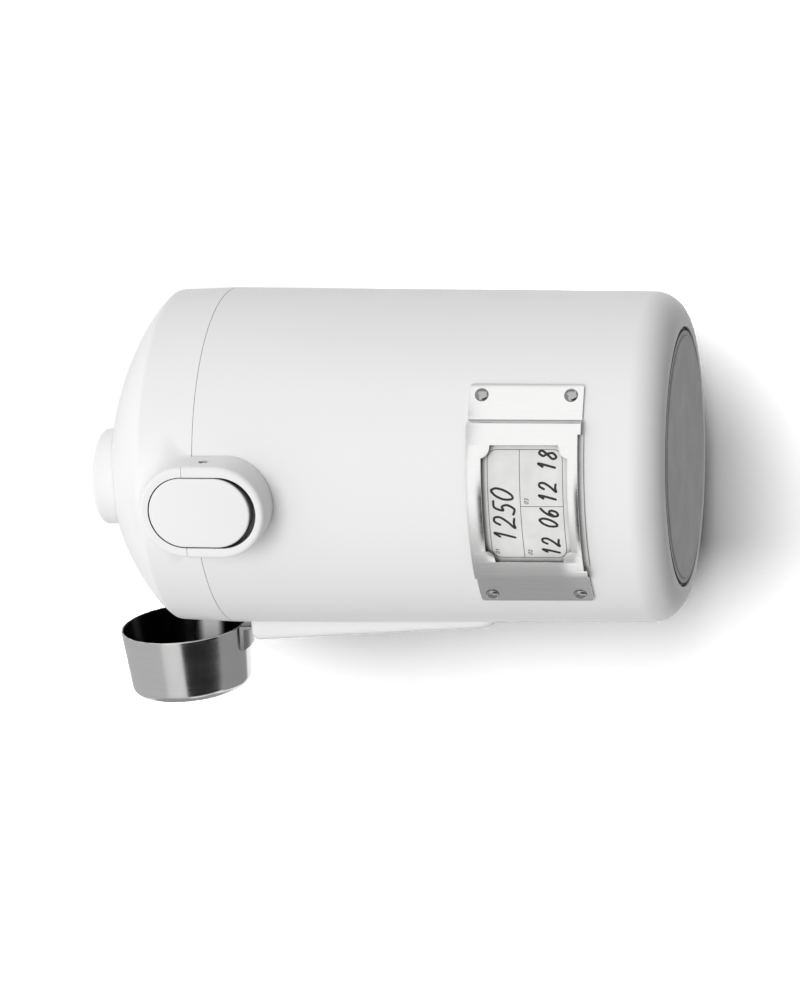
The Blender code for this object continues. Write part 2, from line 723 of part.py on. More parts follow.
def latch_pin():
    """The rocker's pin, with its head let into the housing's side."""
    shank_end = HOUSING_HALF_WIDTH - RUNNING_GAP
    head = shank_end - PIN_HEAD_DEPTH
    profile = [(0, shank_end), (PIN_RADIUS, shank_end - GAP), (PIN_HEAD_RADIUS, shank_end - 2 * GAP),
               (PIN_HEAD_RADIUS, head + RUNNING_GAP), (PIN_RADIUS, head + RUNNING_GAP),
               (PIN_RADIUS, -shank_end + GAP), (PIN_RADIUS - GAP, -shank_end), (0, -shank_end)]
    place = Matrix.Translation((0, -PIN_PLACE, PIN_HEIGHT)) @ Matrix.Rotation(math.radians(90), 4, "Y")
    return turned("latch_pin", profile, SMALL_STEPS, STEEL, place=place)


def latch_button():
    """The hollow rocker, with its pin boss, hook and spring post."""
    outline = stadium(BUTTON_HALF_WIDTH, BUTTON_LOW, BUTTON_HIGH)
    button = front_plate("latch_button", outline, FACE, FACE - BUTTON_DEPTH, WHITE, BUTTON_ROUND)
    hollow = stadium(BUTTON_HALF_WIDTH - BUTTON_WALL, BUTTON_LOW + BUTTON_WALL,
                     BUTTON_HIGH - BUTTON_WALL)
    cut(button, front_plate("button_hollow", hollow, FACE - BUTTON_FACE,
                            FACE - BUTTON_DEPTH - OVERRUN))
    reach = BUTTON_HALF_WIDTH - BUTTON_WALL / 4
    root = FACE - BUTTON_FACE / 2
    boss = rod("button_boss", PIN_BOSS_RADIUS, (-reach, -PIN_PLACE, PIN_HEIGHT),
               (reach, -PIN_PLACE, PIN_HEIGHT), 2 * ARC_STEPS + 4)
    web_half = PIN_BOSS_RADIUS * WEB_SHARE
    web = box("button_web", (-reach, -root, PIN_HEIGHT - web_half),
              (reach, -PIN_PLACE, PIN_HEIGHT + web_half))
    nose = CATCH_FACE + CATCH_REACH - HOOK_BITE
    hook_low = CATCH_LIP_LOW + CATCH_THICKNESS + GAP
    hook = box("button_hook", (-HOOK_HALF_WIDTH, -root, hook_low),
               (HOOK_HALF_WIDTH, -nose, hook_low + HOOK_THICKNESS))
    post_height = PIN_HEIGHT - LATCH_SPRING_DROP
    post = rod("spring_post", POST_RADIUS, (0, -root, post_height),
               (0, POST_LENGTH + BUTTON_FACE - FACE, post_height))
    stop_high = BODY_TOP - GAP
    stop = box("button_stop", (-STOP_HALF_WIDTH, -root, stop_high - STOP_THICKNESS),
               (STOP_HALF_WIDTH, -POCKET_BACK - GAP, stop_high))
    join(button, web, boss, hook, post, stop)
    cut(button, rod("button_bore", PIN_RADIUS + RUNNING_GAP,
                    (-BUTTON_HALF_WIDTH - OVERRUN, -PIN_PLACE, PIN_HEIGHT),
                    (BUTTON_HALF_WIDTH + OVERRUN, -PIN_PLACE, PIN_HEIGHT)))
    return button


def latch_spring():
    """The spring that pushes the button's foot outwards."""
    height = PIN_HEIGHT - LATCH_SPRING_DROP
    return spring("latch_spring", LATCH_SPRING_RADIUS, LATCH_SPRING_WIRE,
                  (0, -POCKET_BACK - GAP, height), (0, BUTTON_FACE + GAP - FACE, height),
                  LATCH_SPRING_TURNS, STEEL)


def catch_screw_places():
    height = CATCH_LIP_LOW + (CATCH_THICKNESS - CATCH_LEG) / 2
    face = CATCH_FACE + CATCH_THICKNESS + GAP / 2
    return [Vector((side * CATCH_SCREW_SPACING / 2, -face, height)) for side in (-1, 1)]


def lid_catch():
    """The steel striker inside the lid's half of the pocket."""
    high = CATCH_LIP_LOW + CATCH_THICKNESS
    leg = box("lid_catch", (-CATCH_HALF_WIDTH, -CATCH_FACE - CATCH_THICKNESS, high - CATCH_LEG),
              (CATCH_HALF_WIDTH, -CATCH_FACE, high), STEEL)
    lip = box("catch_lip", (-CATCH_HALF_WIDTH, -CATCH_FACE - CATCH_REACH, CATCH_LIP_LOW),
              (CATCH_HALF_WIDTH, -CATCH_FACE - CATCH_THICKNESS / 2, high))
    join(leg, lip)
    for i, place in enumerate(catch_screw_places()):
        cut(leg, rod("catch_hole_%d" % i, CATCH_SCREW_RADIUS + RUNNING_GAP, place + FRONT * OVERRUN,
                     place - FRONT * 2 * CATCH_THICKNESS, SCREW_STEPS))
    return leg


def catch_screws():
    length = SCREW_BITE + CATCH_THICKNESS
    meshes = [screw_mesh("catch_screw", place, -FRONT, length, CATCH_SCREW_RADIUS,
                         CATCH_SCREW_HEAD_RADIUS) for place in catch_screw_places()]
    return numbered("catch_screw", meshes, STEEL)


# Hinge

def hinge_point(across=0):
    return Vector((across, HINGE_PLACE, SEAM_HEIGHT))


def hinge_bore(name):
    reach = KNUCKLE_HALF_WIDTH + GAP + EAR_WIDTH + OVERRUN
    return rod(name, HINGE_PIN_RADIUS + RUNNING_GAP, hinge_point(-reach), hinge_point(reach))


def hinge_block():
    """The shell's two ears, with the land between them that stops the open lid."""
    outer = KNUCKLE_HALF_WIDTH + GAP + EAR_WIDTH
    inner = KNUCKLE_HALF_WIDTH + GAP
    root = SEAM_RADIUS - HINGE_ROOT
    low = SEAM_HEIGHT - KNUCKLE_RADIUS - GAP - HINGE_BLOCK_HEIGHT
    land_top = SEAM_HEIGHT - KNUCKLE_RADIUS - GAP
    land_face = HINGE_PLACE - HEEL_THICKNESS / 2 - GAP
    side = [(root, land_top), (root, low), (SEAM_RADIUS, low), (land_face, land_top - HEEL_REACH / 2),
            (land_face, land_top)]
    turn = Matrix.Rotation(math.radians(90), 4, "Z") @ Matrix.Rotation(math.radians(90), 4, "X")
    block = plate("hinge_land", side, 2 * outer, turn)
    for i, sign in enumerate((-1, 1)):
        near, far = sorted((sign * inner, sign * outer))
        ear = rod("hinge_ear_%d" % i, KNUCKLE_RADIUS, hinge_point(near), hinge_point(far),
                  2 * ARC_STEPS + 4)
        web = box("hinge_web_%d" % i, (near, root, land_top - HEEL_REACH / 2),
                  (far, HINGE_PLACE, BODY_TOP))
        join(block, ear, web)
    return block


def lid_knuckle():
    """The lid's middle knuckle, with the heel that meets the shell's land at full opening."""
    knuckle = rod("lid_knuckle", KNUCKLE_RADIUS, hinge_point(-KNUCKLE_HALF_WIDTH),
                  hinge_point(KNUCKLE_HALF_WIDTH), 2 * ARC_STEPS + 4)
    web = box("lid_knuckle_web", (-KNUCKLE_HALF_WIDTH, SEAM_RADIUS - HINGE_ROOT, LID_LOW),
              (KNUCKLE_HALF_WIDTH, HINGE_PLACE, SEAM_HEIGHT + KNUCKLE_RADIUS))
    lean = math.radians(LID_OPENING_DEGREES - 90)
    place = Matrix.Translation(hinge_point()) @ Matrix.Rotation(lean, 4, "X")
    heel = box("lid_heel", (-HEEL_HALF_WIDTH, 0, -HEEL_THICKNESS / 2),
               (HEEL_HALF_WIDTH, HEEL_REACH, HEEL_THICKNESS / 2), place=place)
    join(knuckle, web, heel)
    return knuckle


def hinge_pin():
    reach = KNUCKLE_HALF_WIDTH + GAP + EAR_WIDTH
    profile = [(0, reach), (HINGE_PIN_RADIUS - GAP, reach), (HINGE_PIN_RADIUS, reach - GAP),
               (HINGE_PIN_RADIUS, GAP - reach), (HINGE_PIN_RADIUS - GAP, -reach), (0, -reach)]
    place = Matrix.Translation(hinge_point()) @ Matrix.Rotation(math.radians(90), 4, "Y")
    return turned("hinge_pin", profile, SMALL_STEPS, STEEL, place=place)


# Lid

def dome_section(height, inset):
    """Radius and forward lean of the dome's level section at a height."""
    if height <= SHOULDER:
        share = (height - SEAM_HEIGHT) / SHOULDER_HEIGHT
        return SEAM_RADIUS + (SHOULDER_RADIUS - SEAM_RADIUS) * share - inset, 0
    rise = DOME_RISE - inset
    if height >= SHOULDER + rise:
        return SHOULDER + rise - height, DOME_LEAN
    crown = ((height - SHOULDER) / rise) ** (1 / DOME_CROWN_SHARE)
    side = math.sqrt(1 - crown * crown) ** DOME_SIDE_SHARE
    return (SHOULDER_RADIUS - inset) * side, DOME_LEAN * (1 - side) ** DOME_LEAN_SHARE


def dome_field(point, inset):
    """Negative inside the leaning dome and positive outside."""
    radius, lean = dome_section(point.z, inset)
    return math.hypot(point.x, point.y + lean) - radius


def dome_distance(point):
    """The dome's field over its slope, which is close to a true distance."""
    here = dome_field(point, 0)
    step = GAP / 2
    slope = Vector([dome_field(point + side * step, 0) - here
                    for side in (Vector((1, 0, 0)), Vector((0, 1, 0)), Vector((0, 0, 1)))])
    return here / max(slope.length / step, 1)


def surround_distance(point):
    """Distance to the rounded surround of the latch."""
    low = HOUSING_LOW + HOUSING_HALF_WIDTH
    high = HOUSING_HIGH - HOUSING_HALF_WIDTH
    nearest = min(max(point.z, low), high)
    across = math.hypot(point.x, point.z - nearest) - HOUSING_HALF_WIDTH + HOUSING_ROUND
    deep = max(-point.y - FACE + HOUSING_ROUND, point.y)
    outside = math.hypot(max(across, 0), max(deep, 0))
    return min(max(across, deep), 0) + outside - HOUSING_ROUND + BLEND_INSET


def lid_field(point, inset):
    """The dome, joined to the latch surround by a blend that widens with height."""
    if inset:
        return dome_field(point, inset)
    share = min(max((point.z - SEAM_HEIGHT) / BLEND_HEIGHT, 0), 1)
    width = BLEND_LOW + (BLEND_HIGH - BLEND_LOW) * share * share * (3 - 2 * share)
    dome = dome_distance(point)
    surround = surround_distance(point)
    overlap = max(width - abs(dome - surround), 0) / width
    return min(dome, surround) - overlap * overlap * width / 4


def surface_point(origin, direction, inset):
    """Where a ray from inside leaves the lid's surface."""
    near, far = 0, 2 * SEAM_RADIUS
    for _ in range(SOLVE_STEPS):
        middle = (near + far) / 2
        if lid_field(origin + direction * middle, inset) < 0:
            near = middle
        else:
            far = middle
    return origin + direction * near


def lid_solid(name, inset, low, columns=HOLLOW_COLUMNS, rows=HOLLOW_ROWS, crowding_share=1,
              paint=None):
    """The leaning dome as a closed solid, its columns crowded towards the latch if need be."""
    turns = []
    for i in range(columns):
        share = 2 * i / columns - 1
        turns.append(math.copysign(math.pi * abs(share) ** crowding_share, share))
    belt = SHOULDER - SHOULDER_HEIGHT / 2
    rays = [(low + (belt - low) * row / BAND_ROWS, 0) for row in range(BAND_ROWS)]
    rays += [(belt, math.pi / 2 * row / rows) for row in range(rows)]
    work = bmesh.new()
    rings = []
    for height, climb in rays:
        origin = Vector((0, 0, height))
        ring = []
        for turn in turns:
            direction = around(turn, math.cos(climb), math.sin(climb))
            ring.append(work.verts.new(surface_point(origin, direction, inset)))
        rings.append(ring)
    crown = work.verts.new(surface_point(Vector((0, 0, belt)), Vector((0, 0, 1)), inset))
    for lower, upper in zip(rings, rings[1:]):
        for i in range(columns):
            j = (i + 1) % columns
            work.faces.new((lower[i], lower[j], upper[j], upper[i]))
    for i in range(columns):
        work.faces.new((rings[-1][i], rings[-1][(i + 1) % columns], crown))
    work.faces.new(rings[0][::-1])
    return add(name, from_bmesh(name, work), paint)


def lid_screw_places():
    places = []
    for i in range(LID_SCREWS):
        turn = math.pi + math.tau * i / LID_SCREWS
        places.append(around(turn, LID_SCREW_CIRCLE, 0))
    return places


def lid_core():
    """The knob's well and the screw bosses, trimmed inside the lid's wall."""
    centre = Vector((0, -KNOB_LEAD, 0))
    up = Vector((0, 0, 1))
    core = rod("lid_core", WELL_RADIUS + WELL_WALL, centre + up * (WELL_BOTTOM - WELL_FLOOR),
               centre + up * KNOB_TOP, ROUND_STEPS)
    for i, place in enumerate(lid_screw_places()):
        boss = rod("lid_boss_%d" % i, LID_BOSS_RADIUS, place + up * (LID_PLATE_HIGH + GAP),
                   place + up * KNOB_TOP)
        join(core, boss)
    combine(core, lid_solid("lid_middle", LID_WALL / 2, LID_LOW), "INTERSECT")
    return core


def lid_shell():
    """The domed outer lid with its half of the latch surround."""
    lid = lid_solid("lid_shell", 0, LID_LOW, DOME_COLUMNS, DOME_ROWS, CROWDING_SHARE, WHITE)
    side = HOUSING_HALF_WIDTH + OVERRUN
    past = LID_LOW - 2 * HOUSING_ROUND
    outline = stadium_top(HOUSING_HALF_WIDTH, past, HOUSING_HIGH)
    surround = front_plate("lid_surround", outline, FACE, SEAM_RADIUS - HOUSING_STAND / 2,
                           front_round=HOUSING_ROUND)
    cut(surround, box("surround_trim", (-side, -FACE - OVERRUN, past - OVERRUN), (side, 0, LID_LOW)))
    join(lid, surround)
    cut(lid, lid_solid("lid_hollow", LID_WALL, LID_LOW - OVERRUN))
    join(lid, lid_core(), lid_knuckle())
    centre = Vector((0, -KNOB_LEAD, 0))
    up = Vector((0, 0, 1))
    cut(lid, rod("knob_well", WELL_RADIUS, centre + up * WELL_BOTTOM, centre + up * (KNOB_TOP + OVERRUN),
                 ROUND_STEPS))
    cut(lid, rod("stem_hole", STEM_RADIUS + GAP, centre + up * (WELL_BOTTOM - WELL_FLOOR - OVERRUN),
                 centre + up * (WELL_BOTTOM + OVERRUN)))
    cut(lid, latch_pocket("lid_pocket"), hinge_bore("lid_hinge_bore"))
    for i, place in enumerate(lid_screw_places()):
        cut(lid, rod("lid_pilot_%d" % i, SCREW_RADIUS + RUNNING_GAP, place + up * LID_PLATE_LOW,
                     place + up * (LID_PLATE_HIGH + 3 * SCREW_BITE + GAP), SCREW_STEPS))
    for i, place in enumerate(catch_screw_places()):
        cut(lid, rod("catch_pilot_%d" % i, CATCH_SCREW_RADIUS + RUNNING_GAP, place,
                     place - FRONT * (SCREW_BITE + CATCH_THICKNESS + GAP), SCREW_STEPS))
    return lid


def lid_liner():
    """The lid's inner plate, whose skirt plugs the liner's mouth."""
    inner = SKIRT_RADIUS - SKIRT_WALL
    low = LID_PLATE_LOW - SKIRT_DEPTH
    profile = [(0, LID_PLATE_HIGH), (LID_PLATE_RADIUS, LID_PLATE_HIGH), (LID_PLATE_RADIUS, LID_PLATE_LOW),
               (SKIRT_RADIUS, LID_PLATE_LOW), (SKIRT_RADIUS, low), (inner, low),
               (inner, LID_PLATE_LOW), (0, LID_PLATE_LOW)]
    liner = turned("lid_liner", profile, ROUND_STEPS, INNER_WHITE)
    up = Vector((0, 0, 1))
    centre = Vector((0, -KNOB_LEAD, 0))
    cut(liner, rod("vent_hole", STEM_RADIUS + GAP, centre + up * low, centre + up * SHOULDER))
    for i, place in enumerate(lid_screw_places()):
        cut(liner, rod("liner_screw_hole_%d" % i, SCREW_RADIUS + RUNNING_GAP, place + up * low,
                       place + up * (LID_PLATE_HIGH + OVERRUN), SCREW_STEPS))
    return liner


def lid_screws():
    up = Vector((0, 0, 1))
    length = LID_PLATE_THICKNESS + 3 * SCREW_BITE
    meshes = [screw_mesh("lid_screw", place + up * (LID_PLATE_LOW - GAP / 2), up, length)
              for place in lid_screw_places()]
    return numbered("lid_screw", meshes, STEEL)


def lid_gasket():
    """The ring that the closed lid presses on the liner's flange."""
    inner = SKIRT_RADIUS + GAP
    high = LID_PLATE_LOW - GAP
    profile = [(inner, high), (GASKET_OUTER, high), (GASKET_OUTER, GASKET_LOW + GASKET_EDGE),
               (GASKET_OUTER - GASKET_EDGE, GASKET_LOW), (inner + GASKET_EDGE, GASKET_LOW),
               (inner, GASKET_LOW + GASKET_EDGE)]
    return turned("lid_gasket", profile, ROUND_STEPS, SILICONE, closed=True)


# Vent

def at_knob():
    return Matrix.Translation((0, -KNOB_LEAD, 0))


def vent_knob():
    """The round push knob, a cap with a boss for the stem."""
    bore = STEM_RADIUS + GAP
    boss = bore + KNOB_BOSS_WALL
    ceiling = KNOB_TOP - KNOB_WALL
    boss_low = ceiling - KNOB_BOSS_LENGTH
    profile = [(0, KNOB_TOP)]
    profile += arc((KNOB_RADIUS - KNOB_ROUND, KNOB_TOP - KNOB_ROUND), KNOB_ROUND, 90, 0, 3)
    profile += [(KNOB_RADIUS, KNOB_LOW), (KNOB_RADIUS - KNOB_WALL, KNOB_LOW),
                (KNOB_RADIUS - KNOB_WALL, ceiling), (boss, ceiling), (boss, boss_low),
                (bore, boss_low), (bore, ceiling), (0, ceiling)]
    return turned("vent_knob", profile, ROUND_STEPS, WHITE, place=at_knob())


def seal_top():
    return LID_PLATE_LOW - GAP


def clip_top():
    return seal_top() - SEAL_THICKNESS - GAP


def vent_stem():
    """The rod from the knob to the seal, with a groove for its clip."""
    high = KNOB_TOP - KNOB_WALL - GAP
    neck = STEM_RADIUS - STEM_NECK
    groove_high = clip_top() + RUNNING_GAP
    groove_low = clip_top() - CLIP_THICKNESS - RUNNING_GAP
    low = groove_low - STEM_TAIL
    profile = [(0, high), (STEM_RADIUS, high), (STEM_RADIUS, groove_high), (neck, groove_high),
               (neck, groove_low), (STEM_RADIUS, groove_low), (STEM_RADIUS, low + GAP),
               (STEM_RADIUS - GAP, low), (0, low)]
    return turned("vent_stem", profile, SMALL_STEPS, STEEL, place=at_knob())


def ring(name, inner, outer, high, thickness, paint):
    profile = [(inner, high), (outer, high), (outer, high - thickness), (inner, high - thickness)]
    return turned(name, profile, 2 * SMALL_STEPS, paint, closed=True, place=at_knob())


def vent_spring():
    low = WELL_BOTTOM + GAP
    high = KNOB_TOP - KNOB_WALL - GAP
    return spring("vent_spring", VENT_SPRING_RADIUS, VENT_SPRING_WIRE, (0, -KNOB_LEAD, low),
                  (0, -KNOB_LEAD, high), VENT_SPRING_TURNS, STEEL)


# Label

def rivet_places():
    """Where the rivets' heads bear on the label frame."""
    places = []
    for height in (FRAME_LOW + RIVET_INSET, FRAME_HIGH - RIVET_INSET):
        radius = shell_radius(height) + GAP + FRAME_THICKNESS + GAP
        for turn in (-RIVET_TURN, RIVET_TURN):
            places.append(around(turn, radius, height))
    return places


def curved_sheet(name, stations, low, high, thickness, paint):
    """A sheet that follows the shell: stations are (angle, stand off the shell) pairs."""
    work = bmesh.new()
    rows = []
    for height in (low, high):
        rows.append([work.verts.new(around(turn, shell_radius(height) + stand, height))
                     for turn, stand in stations])
    for i in range(len(stations) - 1):
        work.faces.new((rows[0][i], rows[0][i + 1], rows[1][i + 1], rows[1][i]))
    mesh = bpy.data.meshes.new(name)
    work.to_mesh(mesh)
    work.free()
    sheet = add(name, mesh, paint)
    solid = sheet.modifiers.new("thickness", "SOLIDIFY")
    solid.thickness = thickness
    solid.offset = 1
    return sheet


def frame_stations():
    half = [(FRAME_HALF_TURN, 0), (FRAME_HALF_TURN - (FRAME_HALF_TURN - FRAME_BEND_START) / 3, 0),
            (FRAME_BEND_START + (FRAME_HALF_TURN - FRAME_BEND_START) / 3, 0)]
    for i in range(ARC_STEPS):
        share = i / (ARC_STEPS - 1)
        turn = FRAME_BEND_START + (FRAME_BEND_END - FRAME_BEND_START) * share
        half.append((turn, FRAME_RISE * (1 - math.cos(math.pi * share)) / 2))
    count = 2 * ARC_STEPS
    middle = [(FRAME_BEND_END * (1 - 2 * i / count), FRAME_RISE) for i in range(1, count)]
    right = [(-turn, stand) for turn, stand in reversed(half)]
    return [(-turn, GAP + stand) for turn, stand in half + middle + right]


def window_outline():
    """The label window as (x, z) points, its corners notched by quarter rounds."""
    low = FRAME_LOW + WINDOW_LOW
    high = FRAME_HIGH - WINDOW_HIGH
    half = shell_radius((low + high) / 2) * math.sin(WINDOW_HALF_WIDTH / shell_radius(low))
    corners = [(half, low, 180, 90), (half, high, 270, 180), (-half, high, 360, 270), (-half, low, 90, 0)]
    points = []
    for across, up, start, end in corners:
        for i in range(ARC_STEPS):
            turn = math.radians(start + (end - start) * i / (ARC_STEPS - 1))
            points.append((across + WINDOW_NOTCH_WIDTH * math.cos(turn),
                           up + WINDOW_NOTCH_HEIGHT * math.sin(turn)))
    return points


def frame_blank():
    """A block with the frame's rounded corners, which trims the sheet."""
    half = shell_radius(FRAME_LOW) * math.sin(FRAME_HALF_TURN)
    points = []
    for across, up, start in ((half, FRAME_LOW, 270), (half, FRAME_HIGH, 0),
                              (-half, FRAME_HIGH, 90), (-half, FRAME_LOW, 180)):
        side = math.copysign(FRAME_CORNER, across)
        lift = FRAME_CORNER if up == FRAME_LOW else -FRAME_CORNER
        points += arc((across - side, up + lift), FRAME_CORNER, start, start + 90, 3)
    return front_plate("frame_blank", points, FACE, 0)


def label_frame():
    """The sprung steel frame: flat feet, joggled up to a raised middle with a window."""
    frame = curved_sheet("label_frame", frame_stations(), FRAME_LOW, FRAME_HIGH, FRAME_THICKNESS, STEEL)
    combine(frame, frame_blank(), "INTERSECT")
    side = (shell_radius(FRAME_LOW) + FRAME_RISE) * math.sin(CARD_HALF_TURN)
    cut(frame, front_plate("label_window", window_outline(), FACE, FACE / 2),
        box("card_relief", (-side, -FACE, FRAME_LOW - OVERRUN),
            (side, -FACE / 2, FRAME_LOW + FRAME_RELIEF)))
    for i, place in enumerate(rivet_places()):
        axis = Vector((place.x, place.y, 0)).normalized()
        cut(frame, rod("frame_rivet_hole_%d" % i, RIVET_SHANK_RADIUS + RUNNING_GAP,
                       place + axis * OVERRUN, place - axis * OVERRUN))
    return frame


def label_rivets():
    grip = FRAME_THICKNESS + 2 * GAP + SHELL_WALL + GAP
    profile = [(0, RIVET_HEAD_HEIGHT)]
    for turn in (math.radians(55), math.radians(25), 0):
        profile.append((RIVET_HEAD_RADIUS * math.cos(turn), RIVET_HEAD_HEIGHT * math.sin(turn)))
    profile += [(RIVET_SHANK_RADIUS, 0), (RIVET_SHANK_RADIUS, -grip), (RIVET_TAIL_RADIUS, -grip),
                (0, -grip - RIVET_TAIL_HEIGHT)]
    meshes = []
    for place in rivet_places():
        mesh = turned_mesh("label_rivet", profile, SMALL_STEPS, False)
        axis = Vector((place.x, place.y, 0)).normalized()
        mesh.transform(Matrix.Translation(place) @ axis.to_track_quat("Z", "Y").to_matrix().to_4x4())
        meshes.append(mesh)
    return numbered("label_rivet", meshes, STEEL)


def label_card():
    """The label, a thin card that slides along the shell under the frame's raised middle."""
    count = 2 * ARC_STEPS
    stations = [(CARD_HALF_TURN * (2 * i / count - 1), GAP) for i in range(count + 1)]
    return curved_sheet("label_card", stations, FRAME_LOW - CARD_TAB, FRAME_HIGH - CARD_BELOW_TOP,
                        CARD_THICKNESS, PAPER)


# Scoop and holder

def sideways(distance=0):
    """Placement of an (x, z) outline in the plane y = distance."""
    return Matrix.Translation((0, distance, 0)) @ Matrix.Rotation(math.radians(90), 4, "X")


def holder_screw_seats():
    seats = []
    for drop in (HOLDER_SCREW_HIGH, HOLDER_SCREW_LOW):
        height = HOLDER_HIGH - drop
        inside = math.sqrt((shell_radius(height) - SHELL_WALL) ** 2 - HOLDER_SCREW_SIDE ** 2)
        for across in (-HOLDER_SCREW_SIDE, HOLDER_SCREW_SIDE):
            seats.append((Vector((-inside - SPOT_FACE, across, height)), Vector((-1, 0, 0))))
    return seats


def holder_face(height):
    """Distance of the holder's outer face from the axis at a height."""
    foot = HOLDER_LOW + HOLDER_RUN_OUT
    share = (height - foot) / (HOLDER_HIGH - foot)
    low = shell_radius(foot) + HOLDER_FOOT_REACH
    high = shell_radius(HOLDER_HIGH) + HOLDER_TOP_REACH
    return low + (high - low) * share


def scoop_place():
    turn = Matrix((MOUTH_AXIS, Vector((0, 1, 0)), SCOOP_AXIS)).transposed().to_4x4()
    return Matrix.Translation(CUP_CENTRE) @ turn


def scoop_holder():
    """The tapered pocket on the shell's side that takes the scoop's handle."""
    root = shell_radius(HOLDER_LOW) - HOLDER_ROOT
    foot = HOLDER_LOW + HOLDER_RUN_OUT
    top = holder_face(HOLDER_HIGH)
    outline = [(-root, HOLDER_LOW)]
    outline += [(-shell_radius(HOLDER_LOW) - GAP, HOLDER_LOW)]
    bulge = holder_face(foot)
    for i in range(1, ARC_STEPS + 1):
        share = i / ARC_STEPS
        ease = math.sin(math.pi / 2 * share)
        reach = shell_radius(HOLDER_LOW) + GAP + (bulge - shell_radius(HOLDER_LOW) - GAP) * ease
        outline.append((-reach, HOLDER_LOW + HOLDER_RUN_OUT * share))
    outline += arc((-top + HOLDER_ROUND, HOLDER_HIGH - HOLDER_ROUND), HOLDER_ROUND, 180, 90, 3)
    outline += [(-root, HOLDER_HIGH)]
    block = plate("scoop_holder", outline, 2 * HOLDER_HALF_WIDTH, sideways(), WHITE)
    soften = block.modifiers.new("side_rounds", "BEVEL")
    soften.width = HOLDER_SIDE_ROUND
    soften.segments = 2
    soften.limit_method = "ANGLE"
    soften.angle_limit = math.radians(60)
    cut(block, body_cone("holder_seat", GAP))
    slot_half = HANDLE_HALF_WIDTH + SLOT_GAP
    slot_foot = -CUP_RADIUS - HANDLE_LENGTH - SLOT_GAP
    slot = box("handle_slot", (-HANDLE_THICKNESS - SLOT_GAP, -slot_half, slot_foot),
               (SLOT_GAP, slot_half, 0), place=scoop_place())
    cut(block, slot)
    for i, (seat, axis) in enumerate(holder_screw_seats()):
        cut(block, rod("holder_pilot_%d" % i, SCREW_RADIUS + RUNNING_GAP, seat + axis * SHELL_WALL / 2,
                       seat + axis * (SHELL_WALL + SCREW_BITE + GAP), SCREW_STEPS))
    return block


def holder_screws():
    meshes = [screw_mesh("holder_screw", seat - axis * GAP / 2, axis, SHELL_WALL + SCREW_BITE)
              for seat, axis in holder_screw_seats()]
    return numbered("holder_screw", meshes, STEEL)


def cup_place():
    """Turns a cup drawn mouth up about Z so that its mouth faces the lid."""
    turn = MOUTH_AXIS.to_track_quat("Z", "Y").to_matrix().to_4x4()
    return Matrix.Translation(CUP_CENTRE) @ turn


def scoop_cup():
    inner = CUP_CORNER - CUP_WALL
    corner = (CUP_FOOT_RADIUS - CUP_CORNER, CUP_CORNER - CUP_DEPTH)
    profile = [(0, CUP_WALL - CUP_DEPTH)]
    profile += arc(corner, inner, -90, 0, 3)
    profile += [(CUP_RADIUS - CUP_WALL, 0), (CUP_RADIUS, 0)]
    profile += arc(corner, CUP_CORNER, 0, -90, 3)
    profile += [(0, -CUP_DEPTH)]
    return turned("scoop_cup", profile, ROUND_STEPS, STEEL, place=cup_place())


def scoop_handle():
    """The flat handle, whose end tab is curved round the cup's side."""
    low = -CUP_RADIUS - HANDLE_LENGTH
    tab_low = -CUP_RADIUS - GAP - HANDLE_THICKNESS
    tab_high = HANDLE_THICKNESS * 2 - CUP_RADIUS
    outline = [(-HANDLE_THICKNESS, low), (0, low), (0, tab_high), (-HANDLE_TAB, tab_high),
               (-HANDLE_TAB, tab_low), (-HANDLE_THICKNESS, tab_low)]
    strip = plate("scoop_handle", outline, 2 * HANDLE_HALF_WIDTH, scoop_place() @ sideways(), STEEL)
    profile = [(0, OVERRUN), (CUP_RADIUS + GAP, OVERRUN), (CUP_RADIUS + GAP, 0),
               (CUP_FOOT_RADIUS + GAP, -CUP_DEPTH), (0, -CUP_DEPTH)]
    cut(strip, turned("cup_clearance", profile, ROUND_STEPS, place=cup_place()))
    side = HANDLE_HALF_WIDTH + OVERRUN
    trim = box("tab_trim", (-HANDLE_TAB - OVERRUN, -side, tab_low - OVERRUN),
               (-HANDLE_THICKNESS, side, tab_high + OVERRUN), place=scoop_place())
    reach = GAP + HANDLE_THICKNESS
    profile = [(0, OVERRUN), (CUP_RADIUS + reach, OVERRUN), (CUP_RADIUS + reach, 0),
               (CUP_FOOT_RADIUS + reach, -CUP_DEPTH), (0, -CUP_DEPTH)]
    cut(trim, turned("tab_round", profile, ROUND_STEPS, place=cup_place()))
    cut(strip, trim)
    return strip


def build():
    fixed = [outer_shell(), inner_liner(), base_plate(), foot_pad(), latch_housing(), latch_pin(),
             latch_spring(), hinge_pin(), label_frame(), scoop_holder()]
    fixed += base_screws() + housing_screws() + label_rivets() + holder_screws()
    lid = [lid_shell(), lid_liner(), lid_gasket(), lid_catch(), vent_spring()]
    lid += lid_screws() + catch_screws()
    vent = [vent_knob(), vent_stem(),
            ring("vent_seal", STEM_RADIUS + GAP, SEAL_RADIUS, seal_top(), SEAL_THICKNESS, SILICONE),
            ring("vent_clip", STEM_RADIUS - STEM_NECK + RUNNING_GAP, CLIP_RADIUS, clip_top(),
                 CLIP_THICKNESS, STEEL)]
    button = latch_button()
    scoop = [scoop_cup(), scoop_handle()]
    card = label_card()
    carry(empty_at("lid_axis", hinge_point()), *lid)
    carry(empty_at("vent_axis", (0, -KNOB_LEAD, KNOB_TOP)), *vent)
    carry(empty_at("latch_axis", (0, -PIN_PLACE, PIN_HEIGHT)), button)
    carry(empty_at("scoop_axis", CUP_CENTRE), *scoop)
    carry(empty_at("label_axis", around(0, shell_radius(FRAME_LOW), FRAME_LOW)), card)
    for piece in fixed + lid + vent + scoop + [button, card]:
        smooth(piece)


build()
